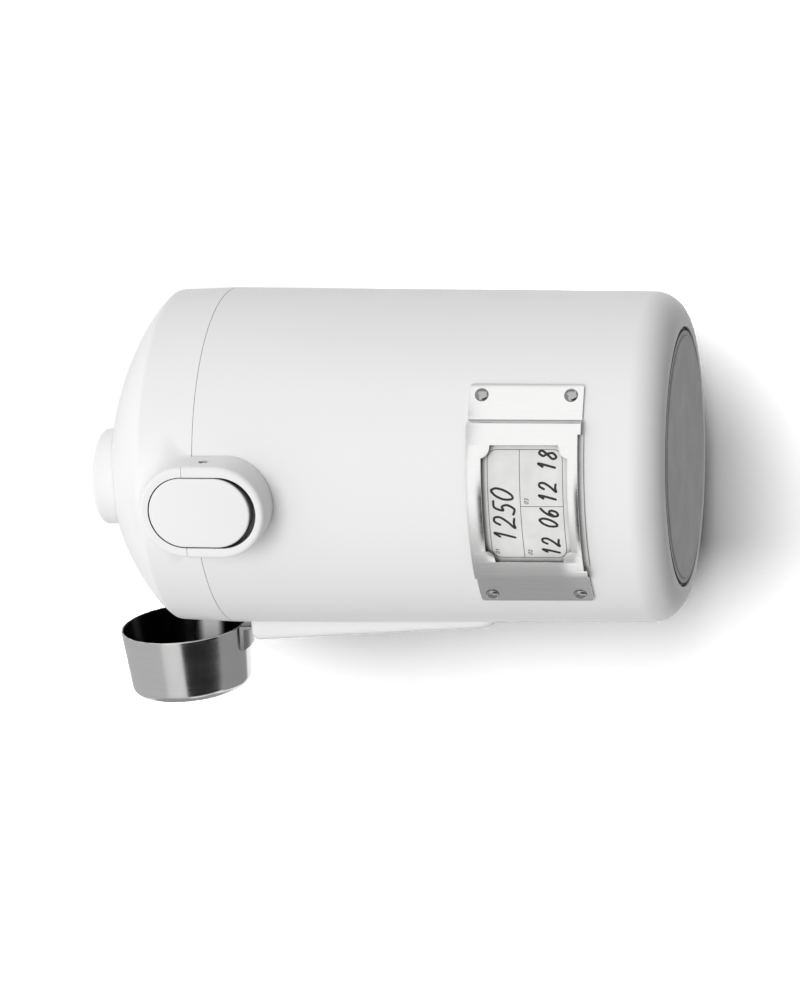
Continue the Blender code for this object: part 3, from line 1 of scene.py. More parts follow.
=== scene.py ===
"""Looks of an airtight canister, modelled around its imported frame: satin shell and lid, rocker
latch, push vent, riveted steel label frame with a ruled card, and a steel scoop in its holder."""
import json
import math

import bmesh
import bpy
import numpy as np
from mathutils import Matrix, Vector


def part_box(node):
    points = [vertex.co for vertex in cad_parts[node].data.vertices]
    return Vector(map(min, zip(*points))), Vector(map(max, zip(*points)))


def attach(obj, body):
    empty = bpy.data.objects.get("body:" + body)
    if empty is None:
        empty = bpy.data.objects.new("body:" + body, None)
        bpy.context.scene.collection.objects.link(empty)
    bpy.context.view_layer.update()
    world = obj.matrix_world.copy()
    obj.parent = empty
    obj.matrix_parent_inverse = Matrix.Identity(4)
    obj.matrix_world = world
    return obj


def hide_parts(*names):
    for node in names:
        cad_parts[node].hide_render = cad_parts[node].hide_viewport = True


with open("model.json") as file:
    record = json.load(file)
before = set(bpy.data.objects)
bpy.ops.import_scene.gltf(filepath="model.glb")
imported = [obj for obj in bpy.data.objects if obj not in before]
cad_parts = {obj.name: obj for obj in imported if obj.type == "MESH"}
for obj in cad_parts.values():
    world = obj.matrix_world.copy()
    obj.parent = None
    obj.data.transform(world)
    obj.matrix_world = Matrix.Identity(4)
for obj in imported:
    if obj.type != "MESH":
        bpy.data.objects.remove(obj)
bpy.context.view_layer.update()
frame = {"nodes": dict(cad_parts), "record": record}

bl_info = {
    "name": "Airtight Canister",
    "version": (1, 0, 0),
    "blender": (4, 5, 0),
    "location": "View3D > Sidebar > Canister",
    "description": "Models the visible pieces of an airtight canister around its packed frame",
    "category": "Add Mesh",
}

# Places that the frame holds
SEAM_GAP = 0.0003
BODY_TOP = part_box("latch_housing")[1].z
SEAM = BODY_TOP + SEAM_GAP / 2
SEAM_CLOSE = 0.0001
LID_LOW = BODY_TOP + SEAM_GAP - SEAM_CLOSE
FACE = -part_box("latch_housing")[0].y
HOUSING_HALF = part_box("latch_housing")[1].x
HOUSING_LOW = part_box("latch_housing")[0].z
BUTTON_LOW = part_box("latch_button")[0].z
BUTTON_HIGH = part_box("latch_button")[1].z
BUTTON_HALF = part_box("latch_button")[1].x
KNOB_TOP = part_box("vent_knob")[1].z
KNOB_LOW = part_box("vent_knob")[0].z
KNOB_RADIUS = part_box("vent_knob")[1].x
SEAL_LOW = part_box("vent_seal")[0].z
SEAL_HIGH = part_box("vent_seal")[1].z
PAD_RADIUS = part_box("foot_pad")[1].x
LINER_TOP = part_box("inner_liner")[1].z
LINER_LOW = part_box("inner_liner")[0].z
FRAME_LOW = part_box("label_frame")[0].z
FRAME_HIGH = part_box("label_frame")[1].z
CARD_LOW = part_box("label_card")[0].z
CARD_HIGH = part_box("label_card")[1].z
HOLDER_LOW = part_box("scoop_holder")[0].z
HOLDER_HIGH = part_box("scoop_holder")[1].z
HOLDER_FACE = -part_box("scoop_holder")[0].x
HOLDER_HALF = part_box("scoop_holder")[1].y

# Small rounds on edges
SHARP_EDGE = 0.0001
EDGE = 0.0002
SOFT_EDGE = 0.0003

# Shell
SEAM_RADIUS = 0.060
BASE_RADIUS = 0.05757
WALL = 0.0022
FOOT_LIFT = 0.0004
FOOT_FILLET = 0.011
FOOT_HOLE_RADIUS = 0.041
RECESS_GAP = 0.0007
RECESS_DEPTH = 0.0021
FLOOR_HEIGHT = 0.0043
FLOOR_FILLET = 0.006
LEDGE_DROP = 0.0033
LEDGE_REACH = 0.0017
LEDGE_THICKNESS = 0.0024
LEDGE_FOOT = 0.0041
SHELL_STEPS = 192

# Foot pad
PAD_INSET = 0.0004
PAD_THICKNESS = 0.0018
PAD_STEP_WIDTH = 0.0018
PAD_STEP_HEIGHT = 0.0005
PAD_STEP_SLOPE = 0.0003
GROOVE_HALF = 0.0005
DIMPLE_RADIUS = 0.0011
DIMPLE_FLOOR_RADIUS = 0.0007
DIMPLE_DEPTH = 0.0004

# Food vessel, lid lining and gasket
VESSEL_WALL = 0.0012
VESSEL_LOW_RADIUS = 0.0523
VESSEL_HIGH_RADIUS = 0.0543
VESSEL_ROUND = 0.004
VESSEL_INNER_ROUND = 0.0028
FLANGE_RADIUS = 0.0574
LINING_LIFT = 0.0013
LINING_THICKNESS = 0.0020
LINING_RADIUS = 0.0573
SKIRT_DEPTH = 0.0060
SKIRT_RADIUS = 0.0524
SKIRT_HOLLOW = 0.0506
SKIRT_ROUND = 0.0005
SKIRT_ROOT_ROUND = 0.0008
GASKET_HOLE = 0.0527
GASKET_RADIUS = 0.0570
GASKET_LIP = 0.0004

# Lid
SHOULDER_HEIGHT = 0.0197
SHOULDER_RADIUS = 0.05939
SHOULDER = SEAM + SHOULDER_HEIGHT
DOME_RISE = 0.01765
DOME_LEAN = 0.0278
SIDE_SHARE = 0.77
CROWN_SHARE = 1.69
LEAN_SHARE = 1.18
BLEND_LOW = 0.001
BLEND_HIGH = 0.012
BLEND_HEIGHT = 0.012
BLEND_INSET = 0.00025
STEEPEST_CLIMB = 89.7

# Vent
KNOB_LEAD = 0.028
KNOB_WALL = 0.0018
KNOB_CROWN = 0.0001
KNOB_INNER_ROUND = 0.001
KNOB_BOSS_RADIUS = 0.0049
KNOB_BOSS_DEPTH = 0.0078
STEM_HOLE = 0.0031
SEAL_RADIUS = 0.0070
WELL_BOTTOM = KNOB_LOW - 0.0028
WELL_FLOOR = 0.0018
WELL_WALL = 0.0015
KNOB_MATRIX = Matrix.Translation((0, -KNOB_LEAD, 0))

# Latch
HOUSING_ROUND = 0.0015
HOUSING_ROOT = SEAM_RADIUS - 0.006
POCKET_BACK = 0.0622
POCKET_GAP = 0.00028
POCKET_FOOT_GAP = 0.0022
POCKET_TOP_GAP = 0.0004
MOUTH_ROUND = 0.0003
PIN_PLACE = Vector((0, -0.065, SEAM - 0.00624))
PIN_BORE = 0.00145
PIN_RADIUS = 0.00125
PIN_SHY = 0.0001
PIN_DOME = 0.0002
PIN_ROUND = 0.0008
PIN_HEAD_SEAT = 0.0017
PIN_HEAD_DEPTH = 0.0014
BUTTON_DEPTH = 0.0054
BUTTON_WALL = 0.0016
BUTTON_SKIN = 0.0020
BUTTON_ROOT = FACE - 0.0010
BOSS_RADIUS = 0.0024
WEB_HALF = 0.0021
HOOK_LOW = SEAM + 0.0053
HOOK_THICKNESS = 0.0018
HOOK_HALF = 0.0030
HOOK_BACK = 0.06365
STOP_HALF = 0.0080
STOP_BACK = 0.0625
STOP_DROP = 0.0017
POST_RADIUS = 0.0016
POST_LENGTH = 0.0036
POST_DROP = 0.0095

# Hinge
HINGE_PLACE = Vector((0, 0.0645, SEAM))
HINGE_ROOT = SEAM_RADIUS - 0.0012
HINGE_DROP = 0.0122
EAR_NEAR = 0.0063
EAR_FAR = 0.0140
EAR_STAND = 0.0001
EAR_ROUND = 0.0004
LAND_FACE = 0.0630
LAND_SLOPE = 0.0028
KNUCKLE_RADIUS = 0.0034
KNUCKLE_HALF = 0.0060
KNUCKLE_WEB = 0.0033
HEEL_HALF = 0.0045
HEEL_LENGTH = 0.0056
HEEL_THICKNESS = 0.0024
HEEL_TURN = math.radians(15)

# Label frame
FRAME_THICKNESS = 0.0008
FRAME_TURN = math.radians(40.3)
FRAME_CORNER = 0.0012
FRAME_RELIEF = 0.0010
FRAME_EDGE = 0.00012
BEND_START = math.radians(28.2)
BEND_END = math.radians(26.2)
FRAME_STAND = 0.0003
FRAME_RISE = 0.0023
WINDOW_LOW = FRAME_LOW + 0.0045
WINDOW_HIGH = FRAME_HIGH - 0.0051
WINDOW_HALF = 0.0210
NOTCH_WIDTH = 0.0042
NOTCH_HEIGHT = 0.0030
RIVET_TURN = math.radians(36.4)
RIVET_INSET = 0.0042
RIVET_RISE = 0.0012
SHANK_RADIUS = 0.0012
SHANK_LENGTH = 0.0038
SHANK_FLARE = 0.0019
SHANK_POINT = 0.0047
# Black strips under the frame's raised middle, as painted shade in the gap: their share of its width,
# thickness, width and lower edges
SHADE_STRIP_SHARE = 0.96
SHADE_STRIP_THICKNESS = 0.0016
SHADE_STRIP_WIDTH = 0.0012
SHADE_STRIP_LOWS = (FRAME_LOW + 0.0013, FRAME_HIGH - 0.0046)

# Card: heights above the base, and places across it from its middle
CARD_TURN = math.radians(23.4)
CARD_STAND = 0.0003
CARD_THICKNESS = 0.0005
CARD_CLEAR = 0.0001
RULE_LOW, RULE_HIGH, RULE_MIDDLE = 0.03295, 0.0585, 0.04755
RULE_LEFT, RULE_RIGHT, RULE_DIVIDE = -0.01986, 0.01886, -0.0005
RULE_CORNER = 0.0032
RULE_STEP = 0.001
RULE_PROUD = 0.00002
PEN_PROUD = 0.00003
PEN_LEAN = 0.22
PEN_SHARE = 0.74
FIELD_NUMBERS = (("01", -0.0183, 0.0560), ("02", -0.0187, 0.0448), ("03", 0.0003, 0.0448))
FIELD_HEIGHT, FIELD_STEP = 0.0013, 0.0011
WRITING = (("1250", -0.0135, 0.0498, 0.0072, 0.0049), ("12 06", -0.0190, 0.0352, 0.0058, 0.0036),
           ("12 18", 0.0008, 0.0352, 0.0058, 0.0036))

# Scoop and holder
SCOOP_TILT = math.atan((SEAM_RADIUS - BASE_RADIUS) / SEAM) + math.radians(1.89)
CUP_CENTRE = Vector((-0.06436, 0, SEAM + 0.02577))
CUP_RADIUS = 0.02365
CUP_FOOT_RADIUS = 0.0218
CUP_DEPTH = 0.02388
CUP_WALL = 0.0008
CUP_ROUND = 0.0030
CUP_INNER_ROUND = 0.0022
CUP_CLEAR = 0.0001
# The light band painted inside the cup as a reflection: its drop below the cup's middle, half width and
# soft reach
BAND_DROP, BAND_HALF, BAND_REACH = 0.0030, 0.0022, 0.0042
HANDLE_HALF = 0.007
HANDLE_THICKNESS = 0.0012
HANDLE_LENGTH = 0.052
TAB_GAP = 0.0003
TAB_REACH = 0.009
SLOT_GAP = 0.00035
HOLDER_FOOT = HOLDER_LOW + 0.0080
HOLDER_FOOT_STAND = 0.0019
HOLDER_FOOT_PINCH = 0.0030
HOLDER_CROWN = 0.0030
HOLDER_ROOT_DEPTH = 0.0120
HOLDER_SIDE = 0.001

# Modelling and shading
SEAT = 0.0002
WELD = 0.000002
LONG_RUN = 0.006
HOLD = 0.0004
NEAR = 0.0001
NEAR_TURN = 0.001
PAST = 0.001  # how far a cutting shape goes beyond what it cuts
NOISE_LOW, NOISE_HIGH = 0.3, 0.7
DEEPEST_GAP = 0.08
FACING_FRONT = Matrix.Rotation(math.radians(90), 4, "X")
FACING_SIDE = Matrix.Rotation(math.radians(90), 4, "Z") @ Matrix.Rotation(math.radians(90), 4, "X")

# Stage
CAMERA_PLACE = (0.33078, -1.136316, -0.17812)
CAMERA_RIGHT = Vector((-0.05944486, 0.22308892, -0.97298389))
CAMERA_UP = Vector((0.95683633, 0.29051298, 0.00815144))
CAMERA_LENS = 123.178
SENSOR_WIDTH = 36
TABLE_PLACE = 0.0705
TABLE_BELOW = (0.158, 0.105)  # the table comes into view between these heights
TABLE_BESIDE = (-0.055, -0.075)  # and between these places beyond the scoop
MIDDLE = (0, 0, 0.1)


# Modelling helpers

def deselect():
    if bpy.context.object is not None and bpy.context.object.mode != "OBJECT":
        bpy.ops.object.mode_set(mode="OBJECT")
    bpy.ops.object.select_all(action="DESELECT")


def activate(thing):
    deselect()
    thing.select_set(True)
    bpy.context.view_layer.objects.active = thing


def traced(name, points):
    """A line of edges, extruded from point to point out of one vertex. It stays in edit mode."""
    deselect()
    bpy.ops.mesh.primitive_plane_add(size=0.001, location=(0, 0, 0))
    thing = bpy.context.object
    thing.name = name
    thing.data.name = name
    bpy.ops.object.mode_set(mode="EDIT")
    bpy.ops.mesh.select_all(action="SELECT")
    bpy.ops.mesh.merge(type="CENTER")
    bpy.ops.transform.translate(value=points[0])
    for here, there in zip(points, points[1:]):
        bpy.ops.mesh.extrude_region_move(TRANSFORM_OT_translate={"value": there - here})
    bpy.ops.mesh.select_all(action="SELECT")
    return thing


def close_up(thing, place=None):
    """Merges doubles, turns the faces out, leaves edit mode and moves the mesh to its place."""
    bpy.ops.mesh.select_all(action="SELECT")
    bpy.ops.mesh.remove_doubles(threshold=WELD)
    bpy.ops.mesh.normals_make_consistent(inside=False)
    bpy.ops.object.mode_set(mode="OBJECT")
    if place is not None:
        thing.matrix_world = place
        activate(thing)
        bpy.ops.object.transform_apply(location=True, rotation=True, scale=True)
    return thing


def held(profile):
    """Adds a point near each end of the long straight runs, so that their shading stays flat."""
    points = [profile[0]]
    for one, two in zip(profile, profile[1:]):
        length = math.dist(one, two)
        if length > LONG_RUN:
            for share in (HOLD / length, 1 - HOLD / length):
                points.append(tuple(a + (b - a) * share for a, b in zip(one, two)))
        points.append(two)
    return points


def turned(name, profile, steps=SHELL_STEPS, place=None):
    """A line of (radius, height) points spun about Z."""
    thing = traced(name, [Vector((radius, 0, height)) for radius, height in held(profile)])
    bpy.ops.mesh.spin(steps=steps, angle=math.tau, center=(0, 0, 0), axis=(0, 0, 1))
    return close_up(thing, place)


def slab(name, outline, thickness, place):
    """A flat outline filled and extruded, then moved to its place."""
    points = [Vector((across, up, 0)) for across, up in outline]
    thing = traced(name, points + points[:1])
    bpy.ops.mesh.remove_doubles(threshold=WELD)
    bpy.ops.mesh.edge_face_add()
    bpy.ops.mesh.select_all(action="SELECT")
    bpy.ops.mesh.extrude_region_move(TRANSFORM_OT_translate={"value": (0, 0, thickness)})
    return close_up(thing, place)


def front_slab(name, outline, near, far):
    """An (x, z) outline between two distances in front of the axis."""
    return slab(name, outline, near - far, Matrix.Translation((0, -far, 0)) @ FACING_FRONT)


def side_slab(name, outline, low, high):
    """A (y, z) outline between two distances to the side."""
    return slab(name, outline, high - low, Matrix.Translation((low, 0, 0)) @ FACING_SIDE)


def linked_mesh(name, work):
    """An object made from a finished bmesh."""
    mesh = bpy.data.meshes.new(name)
    work.to_mesh(mesh)
    work.free()
    thing = bpy.data.objects.new(name, mesh)
    bpy.context.scene.collection.objects.link(thing)
    return thing


def skin(work, rings):
    """Closed rings of vertices joined by faces and capped at both ends."""
    for lower, upper in zip(rings, rings[1:]):
        for i in range(len(lower)):
            j = (i + 1) % len(lower)
            work.faces.new((lower[i], lower[j], upper[j], upper[i]))
    work.faces.new(rings[0][::-1])
    work.faces.new(rings[-1])


def lofted(name, loops):
    """A skin through closed loops that have the same number of points."""
    work = bmesh.new()
    skin(work, [[work.verts.new(point) for point in loop] for loop in loops])
    bmesh.ops.remove_doubles(work, verts=work.verts, dist=WELD)
    bmesh.ops.recalc_face_normals(work, faces=work.faces)
    return linked_mesh(name, work)


def arc(centre, radius, start, end, steps):
    turns = [math.radians(start + (end - start) * i / steps) for i in range(steps + 1)]
    return [(centre[0] + radius * math.cos(turn), centre[1] + radius * math.sin(turn))
            for turn in turns]


def rounded(corners, steps=6, closed=False):
    """A line through (x, y, radius) corners, each turned on its radius."""
    points = []
    for i, (x, y, radius) in enumerate(corners):
        if radius == 0 or not closed and i in (0, len(corners) - 1):
            points.append((x, y))
            continue
        here = Vector((x, y))
        back = (Vector(corners[i - 1][:2]) - here).normalized()
        ahead = (Vector(corners[(i + 1) % len(corners)][:2]) - here).normalized()
        half = back.angle(ahead) / 2
        centre = here + (back + ahead).normalized() * radius / math.sin(half)
        start = here + back * radius / math.tan(half) - centre
        end = here + ahead * radius / math.tan(half) - centre
        first = math.degrees(math.atan2(start.y, start.x))
        turn = math.degrees(math.atan2(end.y, end.x)) - first
        turn = (turn + 180) % 360 - 180
        points += arc(centre, radius, first, first + turn, steps)
    return points


def stadium(half, low, high, steps=32):
    """An (x, z) outline with two round ends."""
    return arc((0, low + half), half, 180, 360, steps) + arc((0, high - half), half, 0, 180, steps)


def combined(target, other, operation):
    """Joins, cuts or intersects target with another object, which is used up."""
    activate(target)
    step = target.modifiers.new("combine", "BOOLEAN")
    step.operation = operation
    step.object = other
    step.solver = "EXACT"
    bpy.ops.object.modifier_apply(modifier=step.name)
    bpy.data.objects.remove(other)
    return target


def cut(target, *others):
    for other in others:
        combined(target, other, "DIFFERENCE")


def join(target, *others):
    for other in others:
        combined(target, other, "UNION")


def soften(thing, width, segments=3, angle=40):
    """A bevel on the edges sharper than an angle."""
    activate(thing)
    step = thing.modifiers.new("soften", "BEVEL")
    step.width = width
    step.segments = segments
    step.limit_method = "ANGLE"
    step.angle_limit = math.radians(angle)
    step.harden_normals = False
    bpy.ops.object.modifier_apply(modifier=step.name)
    return thing


def bevel_edges(thing, wanted, width, segments):
    """A bevel on the edges that a test of their two ends picks."""
    activate(thing)
    bpy.context.tool_settings.mesh_select_mode = (False, True, False)
    for part in (thing.data.vertices, thing.data.edges, thing.data.polygons):
        for element in part:
            element.select = False
    for edge in thing.data.edges:
        one, other = (thing.data.vertices[i].co for i in edge.vertices)
        edge.select = wanted(one, other)
    bpy.ops.object.mode_set(mode="EDIT")
    bpy.ops.mesh.bevel(offset=width, segments=segments, affect="EDGES", clamp_overlap=True)
    bpy.ops.object.mode_set(mode="OBJECT")
    bpy.context.tool_settings.mesh_select_mode = (True, False, False)
    return thing


def settle(thing, body, slot, *nodes, paint=None, angle=35):
    """Finishes a piece: its shading, its material, the body it rides on and what it replaces."""
    activate(thing)
    bpy.ops.object.shade_smooth_by_angle(angle=math.radians(angle))
    thing.data.materials.clear()
    thing.data.materials.append(PAINTS[paint or SLOT_PAINTS[slot]])
    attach(thing, body)
    if nodes:
        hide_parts(*nodes)
    return thing


def shell_radius(height):
    return BASE_RADIUS + (SEAM_RADIUS - BASE_RADIUS) * height / SEAM


def around(turn, radius, height):
    """The point at an angle from the front, towards +X, at a radius and height."""
    return Vector((radius * math.sin(turn), -radius * math.cos(turn), height))


def wall_cone(name, offset):
    """A solid that follows the outside of the shell."""
    low, high = -WALL, SEAM + WALL
    return turned(name, [(0, high), (shell_radius(high) + offset, high),
                         (shell_radius(low) + offset, low), (0, low)])


def drum(name, radius, low, high, steps, place):
    """A plain cylinder about Z, moved to its place."""
    return turned(name, [(0, low), (radius, low), (radius, high), (0, high)], steps, place)


def block(name, low, high):
    """A box between two corners, from a cube that is sized and moved."""
    deselect()
    bpy.ops.mesh.primitive_cube_add(size=1, location=(Vector(low) + Vector(high)) / 2,
                                    scale=Vector(high) - Vector(low))
    bpy.ops.object.transform_apply(location=True, rotation=True, scale=True)
    bpy.context.object.name = name
    return bpy.context.object


# Materials

def start_material(name, colour, roughness, metallic=0.0):
    """A Principled material with its nodes."""
    paint = bpy.data.materials.new(name)
    paint.use_nodes = True
    tree = paint.node_tree
    shader = tree.nodes["Principled BSDF"]
    shader.inputs["Base Color"].default_value = (*colour, 1)
    shader.inputs["Roughness"].default_value = roughness
    shader.inputs["Metallic"].default_value = metallic
    paint.diffuse_color = (*colour, 1)
    return paint, tree, shader


def empty_material(name):
    """A material whose only node is its output."""
    paint = bpy.data.materials.new(name)
    paint.use_nodes = True
    tree = paint.node_tree
    tree.nodes.clear()
    return paint, tree, tree.nodes.new("ShaderNodeOutputMaterial")


def noise(tree, scale, stretch=(1, 1, 1), detail=2.0, turn=(0, 0, 0)):
    """Noise on the object's own coordinates, stretched along its axes."""
    place = tree.nodes.new("ShaderNodeTexCoord")
    mapping = tree.nodes.new("ShaderNodeMapping")
    mapping.inputs["Rotation"].default_value = turn
    mapping.inputs["Scale"].default_value = stretch
    texture = tree.nodes.new("ShaderNodeTexNoise")
    texture.inputs["Scale"].default_value = scale
    texture.inputs["Detail"].default_value = detail
    tree.links.new(place.outputs["Object"], mapping.inputs["Vector"])
    tree.links.new(mapping.outputs["Vector"], texture.inputs["Vector"])
    return texture.outputs["Fac"]


def along(tree, axis, kind="Object"):
    """The place along one axis."""
    place = tree.nodes.new("ShaderNodeTexCoord")
    split = tree.nodes.new("ShaderNodeSeparateXYZ")
    tree.links.new(place.outputs[kind], split.inputs["Vector"])
    return split.outputs[axis]


def math_step(tree, operation, *values, clamp=False):
    """A Math node on sockets and numbers."""
    step = tree.nodes.new("ShaderNodeMath")
    step.operation = operation
    step.use_clamp = clamp
    for entry, value in zip(step.inputs, values):
        if isinstance(value, float):
            entry.default_value = value
        else:
            tree.links.new(value, entry)
    return step.outputs[0]


def remapped(tree, value, start, end, low=0.0, high=1.0, smooth=False):
    """Takes a value between start and end over to low and high."""
    span = tree.nodes.new("ShaderNodeMapRange")
    if smooth:
        span.interpolation_type = "SMOOTHSTEP"
    span.inputs["From Min"].default_value = start
    span.inputs["From Max"].default_value = end
    span.inputs["To Min"].default_value = low
    span.inputs["To Max"].default_value = high
    tree.links.new(value, span.inputs["Value"])
    return span.outputs["Result"]


def spread(tree, texture, shader, socket, low, high):
    """Drives one of the shader's sockets between two values."""
    tree.links.new(remapped(tree, texture, NOISE_LOW, NOISE_HIGH, low, high), shader.inputs[socket])


def tint(tree, share, shader, one, other):
    """Mixes two colours by a share."""
    mix = tree.nodes.new("ShaderNodeMix")
    mix.data_type = "RGBA"
    mix.inputs["A"].default_value = (*one, 1)
    mix.inputs["B"].default_value = (*other, 1)
    tree.links.new(share, mix.inputs["Factor"])
    tree.links.new(mix.outputs["Result"], shader.inputs["Base Color"])


def relief(tree, texture, shader, strength, distance):
    bump = tree.nodes.new("ShaderNodeBump")
    bump.inputs["Strength"].default_value = strength
    bump.inputs["Distance"].default_value = distance
    tree.links.new(texture, bump.inputs["Height"])
    tree.links.new(bump.outputs["Normal"], shader.inputs["Normal"])


def shadowed(tree, shader, reach, darkest, clear=0.6):
    """Paints shade into the colour: darkens it in corners and gaps, up to where a share of the view is
    clear.
    """
    closed = tree.nodes.new("ShaderNodeAmbientOcclusion")
    closed.samples = 8
    closed.inputs["Distance"].default_value = reach
    mix = tree.nodes.new("ShaderNodeMix")
    mix.data_type = "RGBA"
    mix.blend_type = "MULTIPLY"
    mix.inputs["Factor"].default_value = 1.0
    colour = shader.inputs["Base Color"]
    tree.links.new(colour.links[0].from_socket, mix.inputs["A"])
    tree.links.new(remapped(tree, closed.outputs["AO"], DEEPEST_GAP, clear, darkest, smooth=True),
                   mix.inputs["B"])
    tree.links.new(mix.outputs["Result"], colour)


def shade(colour, share):
    return tuple(channel * share for channel in colour)


def moulded(name, colour, roughness, grain=2600):
    """Satin moulded plastic: a fine spark grain, a faint cloud in its gloss, and painted shade in its
    corners and gaps.
    """
    paint, tree, shader = start_material(name, colour, roughness)
    shader.inputs["Specular IOR Level"].default_value = 0.45
    relief(tree, noise(tree, grain, detail=1.0), shader, strength=0.06, distance=0.00003)
    spread(tree, noise(tree, 45), shader, "Roughness", roughness * 0.9, roughness * 1.12)
    tint(tree, noise(tree, 18, detail=1.0), shader, shade(colour, 0.985), colour)
    shadowed(tree, shader, reach=0.006, darkest=0.04)
    return paint


def brushed(name, colour, roughness, stretch, depth=0.00001, turn=(0, 0, 0)):
    """Steel brushed one way: streaks in its tone, gloss and relief, and painted shade in its corners and
    gaps.
    """
    paint, tree, shader = start_material(name, colour, roughness, 1.0)
    streaks = noise(tree, 1.0, stretch, detail=4.0, turn=turn)
    spread(tree, streaks, shader, "Roughness", roughness * 0.85, roughness * 1.15)
    tint(tree, streaks, shader, shade(colour, 0.93), colour)
    relief(tree, streaks, shader, strength=0.11, distance=depth)
    shadowed(tree, shader, reach=0.002, darkest=0.15, clear=0.8)
    return paint


def polished(name, colour, roughness, clear=0.95):
    """Bright steel with faint handling marks, and painted shade in its corners and gaps."""
    paint, tree, shader = start_material(name, colour, roughness, 1.0)
    spread(tree, noise(tree, 260, detail=4.0), shader, "Roughness", roughness * 0.7, roughness * 1.5)
    tint(tree, noise(tree, 90), shader, shade(colour, 0.94), colour)
    shadowed(tree, shader, reach=0.003, darkest=0.03, clear=clear)
    return paint


def painted_reflection_band(name, colour, band, roughness, height, half, reach):
    """Painted reflection on steel: one light band across Z on a dark colour, half its width solid and a
    soft reach beyond, where the metallic drops so that the band stays light.
    """
    paint, tree, shader = start_material(name, colour, roughness, 1.0)
    away = math_step(tree, "ABSOLUTE", math_step(tree, "SUBTRACT", along(tree, "Z"), height))
    share = remapped(tree, away, half + reach, half, smooth=True)
    tint(tree, share, shader, colour, band)
    tree.links.new(remapped(tree, share, 0.0, 1.0, 1.0, 0.1), shader.inputs["Metallic"])
    spread(tree, noise(tree, 420, detail=3.0), shader, "Roughness", roughness * 0.85, roughness * 1.2)
    return paint


def speckled(name, colour, roughness, grain, depth):
    """Rubber, silicone, card, and the black used for the card's print and for painted shade in gaps: a
    mottled tone, a fine tooth, and painted shade in corners and gaps.
    """
    paint, tree, shader = start_material(name, colour, roughness)
    relief(tree, noise(tree, grain, detail=6.0), shader, strength=0.35, distance=depth)
    tint(tree, noise(tree, grain / 20, detail=6.0), shader, shade(colour, 0.78), shade(colour, 1.18))
    spread(tree, noise(tree, grain / 4), shader, "Roughness", roughness * 0.92, min(roughness * 1.06, 1))
    shadowed(tree, shader, reach=0.003, darkest=0.03, clear=0.85)
    return paint


class CanisterFinish(bpy.types.PropertyGroup):
    """Colours and gloss of the canister."""
    white: bpy.props.FloatVectorProperty(
        name="White", description="Colour of the shell, lid and latch", subtype="COLOR",
        size=3, min=0, max=1, default=(0.86, 0.86, 0.86))
    inner: bpy.props.FloatVectorProperty(
        name="Inner white", description="Colour of the food vessel and lid lining", subtype="COLOR",
        size=3, min=0, max=1, default=(0.78, 0.78, 0.77))
    steel: bpy.props.FloatVectorProperty(
        name="Steel", description="Colour of the brushed and polished steel", subtype="COLOR",
        size=3, min=0, max=1, default=(0.96, 0.96, 0.955))
    rubber: bpy.props.FloatVectorProperty(
        name="Rubber", description="Colour of the foot pad", subtype="COLOR",
        size=3, min=0, max=1, default=(0.66, 0.66, 0.66))
    card: bpy.props.FloatVectorProperty(
        name="Card", description="Colour of the label card", subtype="COLOR",
        size=3, min=0, max=1, default=(0.78, 0.78, 0.77))
    gloss: bpy.props.FloatProperty(
        name="Plastic roughness", description="Roughness of the satin plastic", subtype="FACTOR",
        min=0, max=1, default=0.42)


class CanisterSizes(bpy.types.PropertyGroup):
    """Sizes that shape the canister's details."""
    knob_round: bpy.props.FloatProperty(
        name="Knob rounding", description="Radius of the vent knob's edge", unit="LENGTH",
        min=0.0002, max=0.004, default=0.0015)
    button_round: bpy.props.FloatProperty(
        name="Button rounding", description="Radius of the latch button's edge", unit="LENGTH",
        min=0.0001, max=0.002, default=0.0006)
    rivet_head: bpy.props.FloatProperty(
        name="Rivet head", description="Radius of a label rivet's head", unit="LENGTH",
        min=0.001, max=0.004, default=0.00235)
    holder_round: bpy.props.FloatProperty(
        name="Holder rounding", description="Radius along the scoop holder's edges", unit="LENGTH",
        min=0.0005, max=0.005, default=0.0024)
    line_width: bpy.props.FloatProperty(
        name="Ruled line", description="Width of the lines printed on the card", unit="LENGTH",
        min=0.0001, max=0.001, default=0.00022)
    pen_width: bpy.props.FloatProperty(
        name="Pen line", description="Width of the figures written on the card", unit="LENGTH",
        min=0.0002, max=0.002, default=0.0008)


def finish():
    return bpy.context.scene.canister_finish


def sizes():
    return bpy.context.scene.canister_sizes


PAINTS = {}
SLOT_PAINTS = {"white_plastic": "white", "inner_plastic": "inner", "brushed_steel": "frame",
               "polished_steel": "bright", "plain_steel": "plain", "grey_rubber": "rubber",
               "silicone": "silicone", "card": "card"}


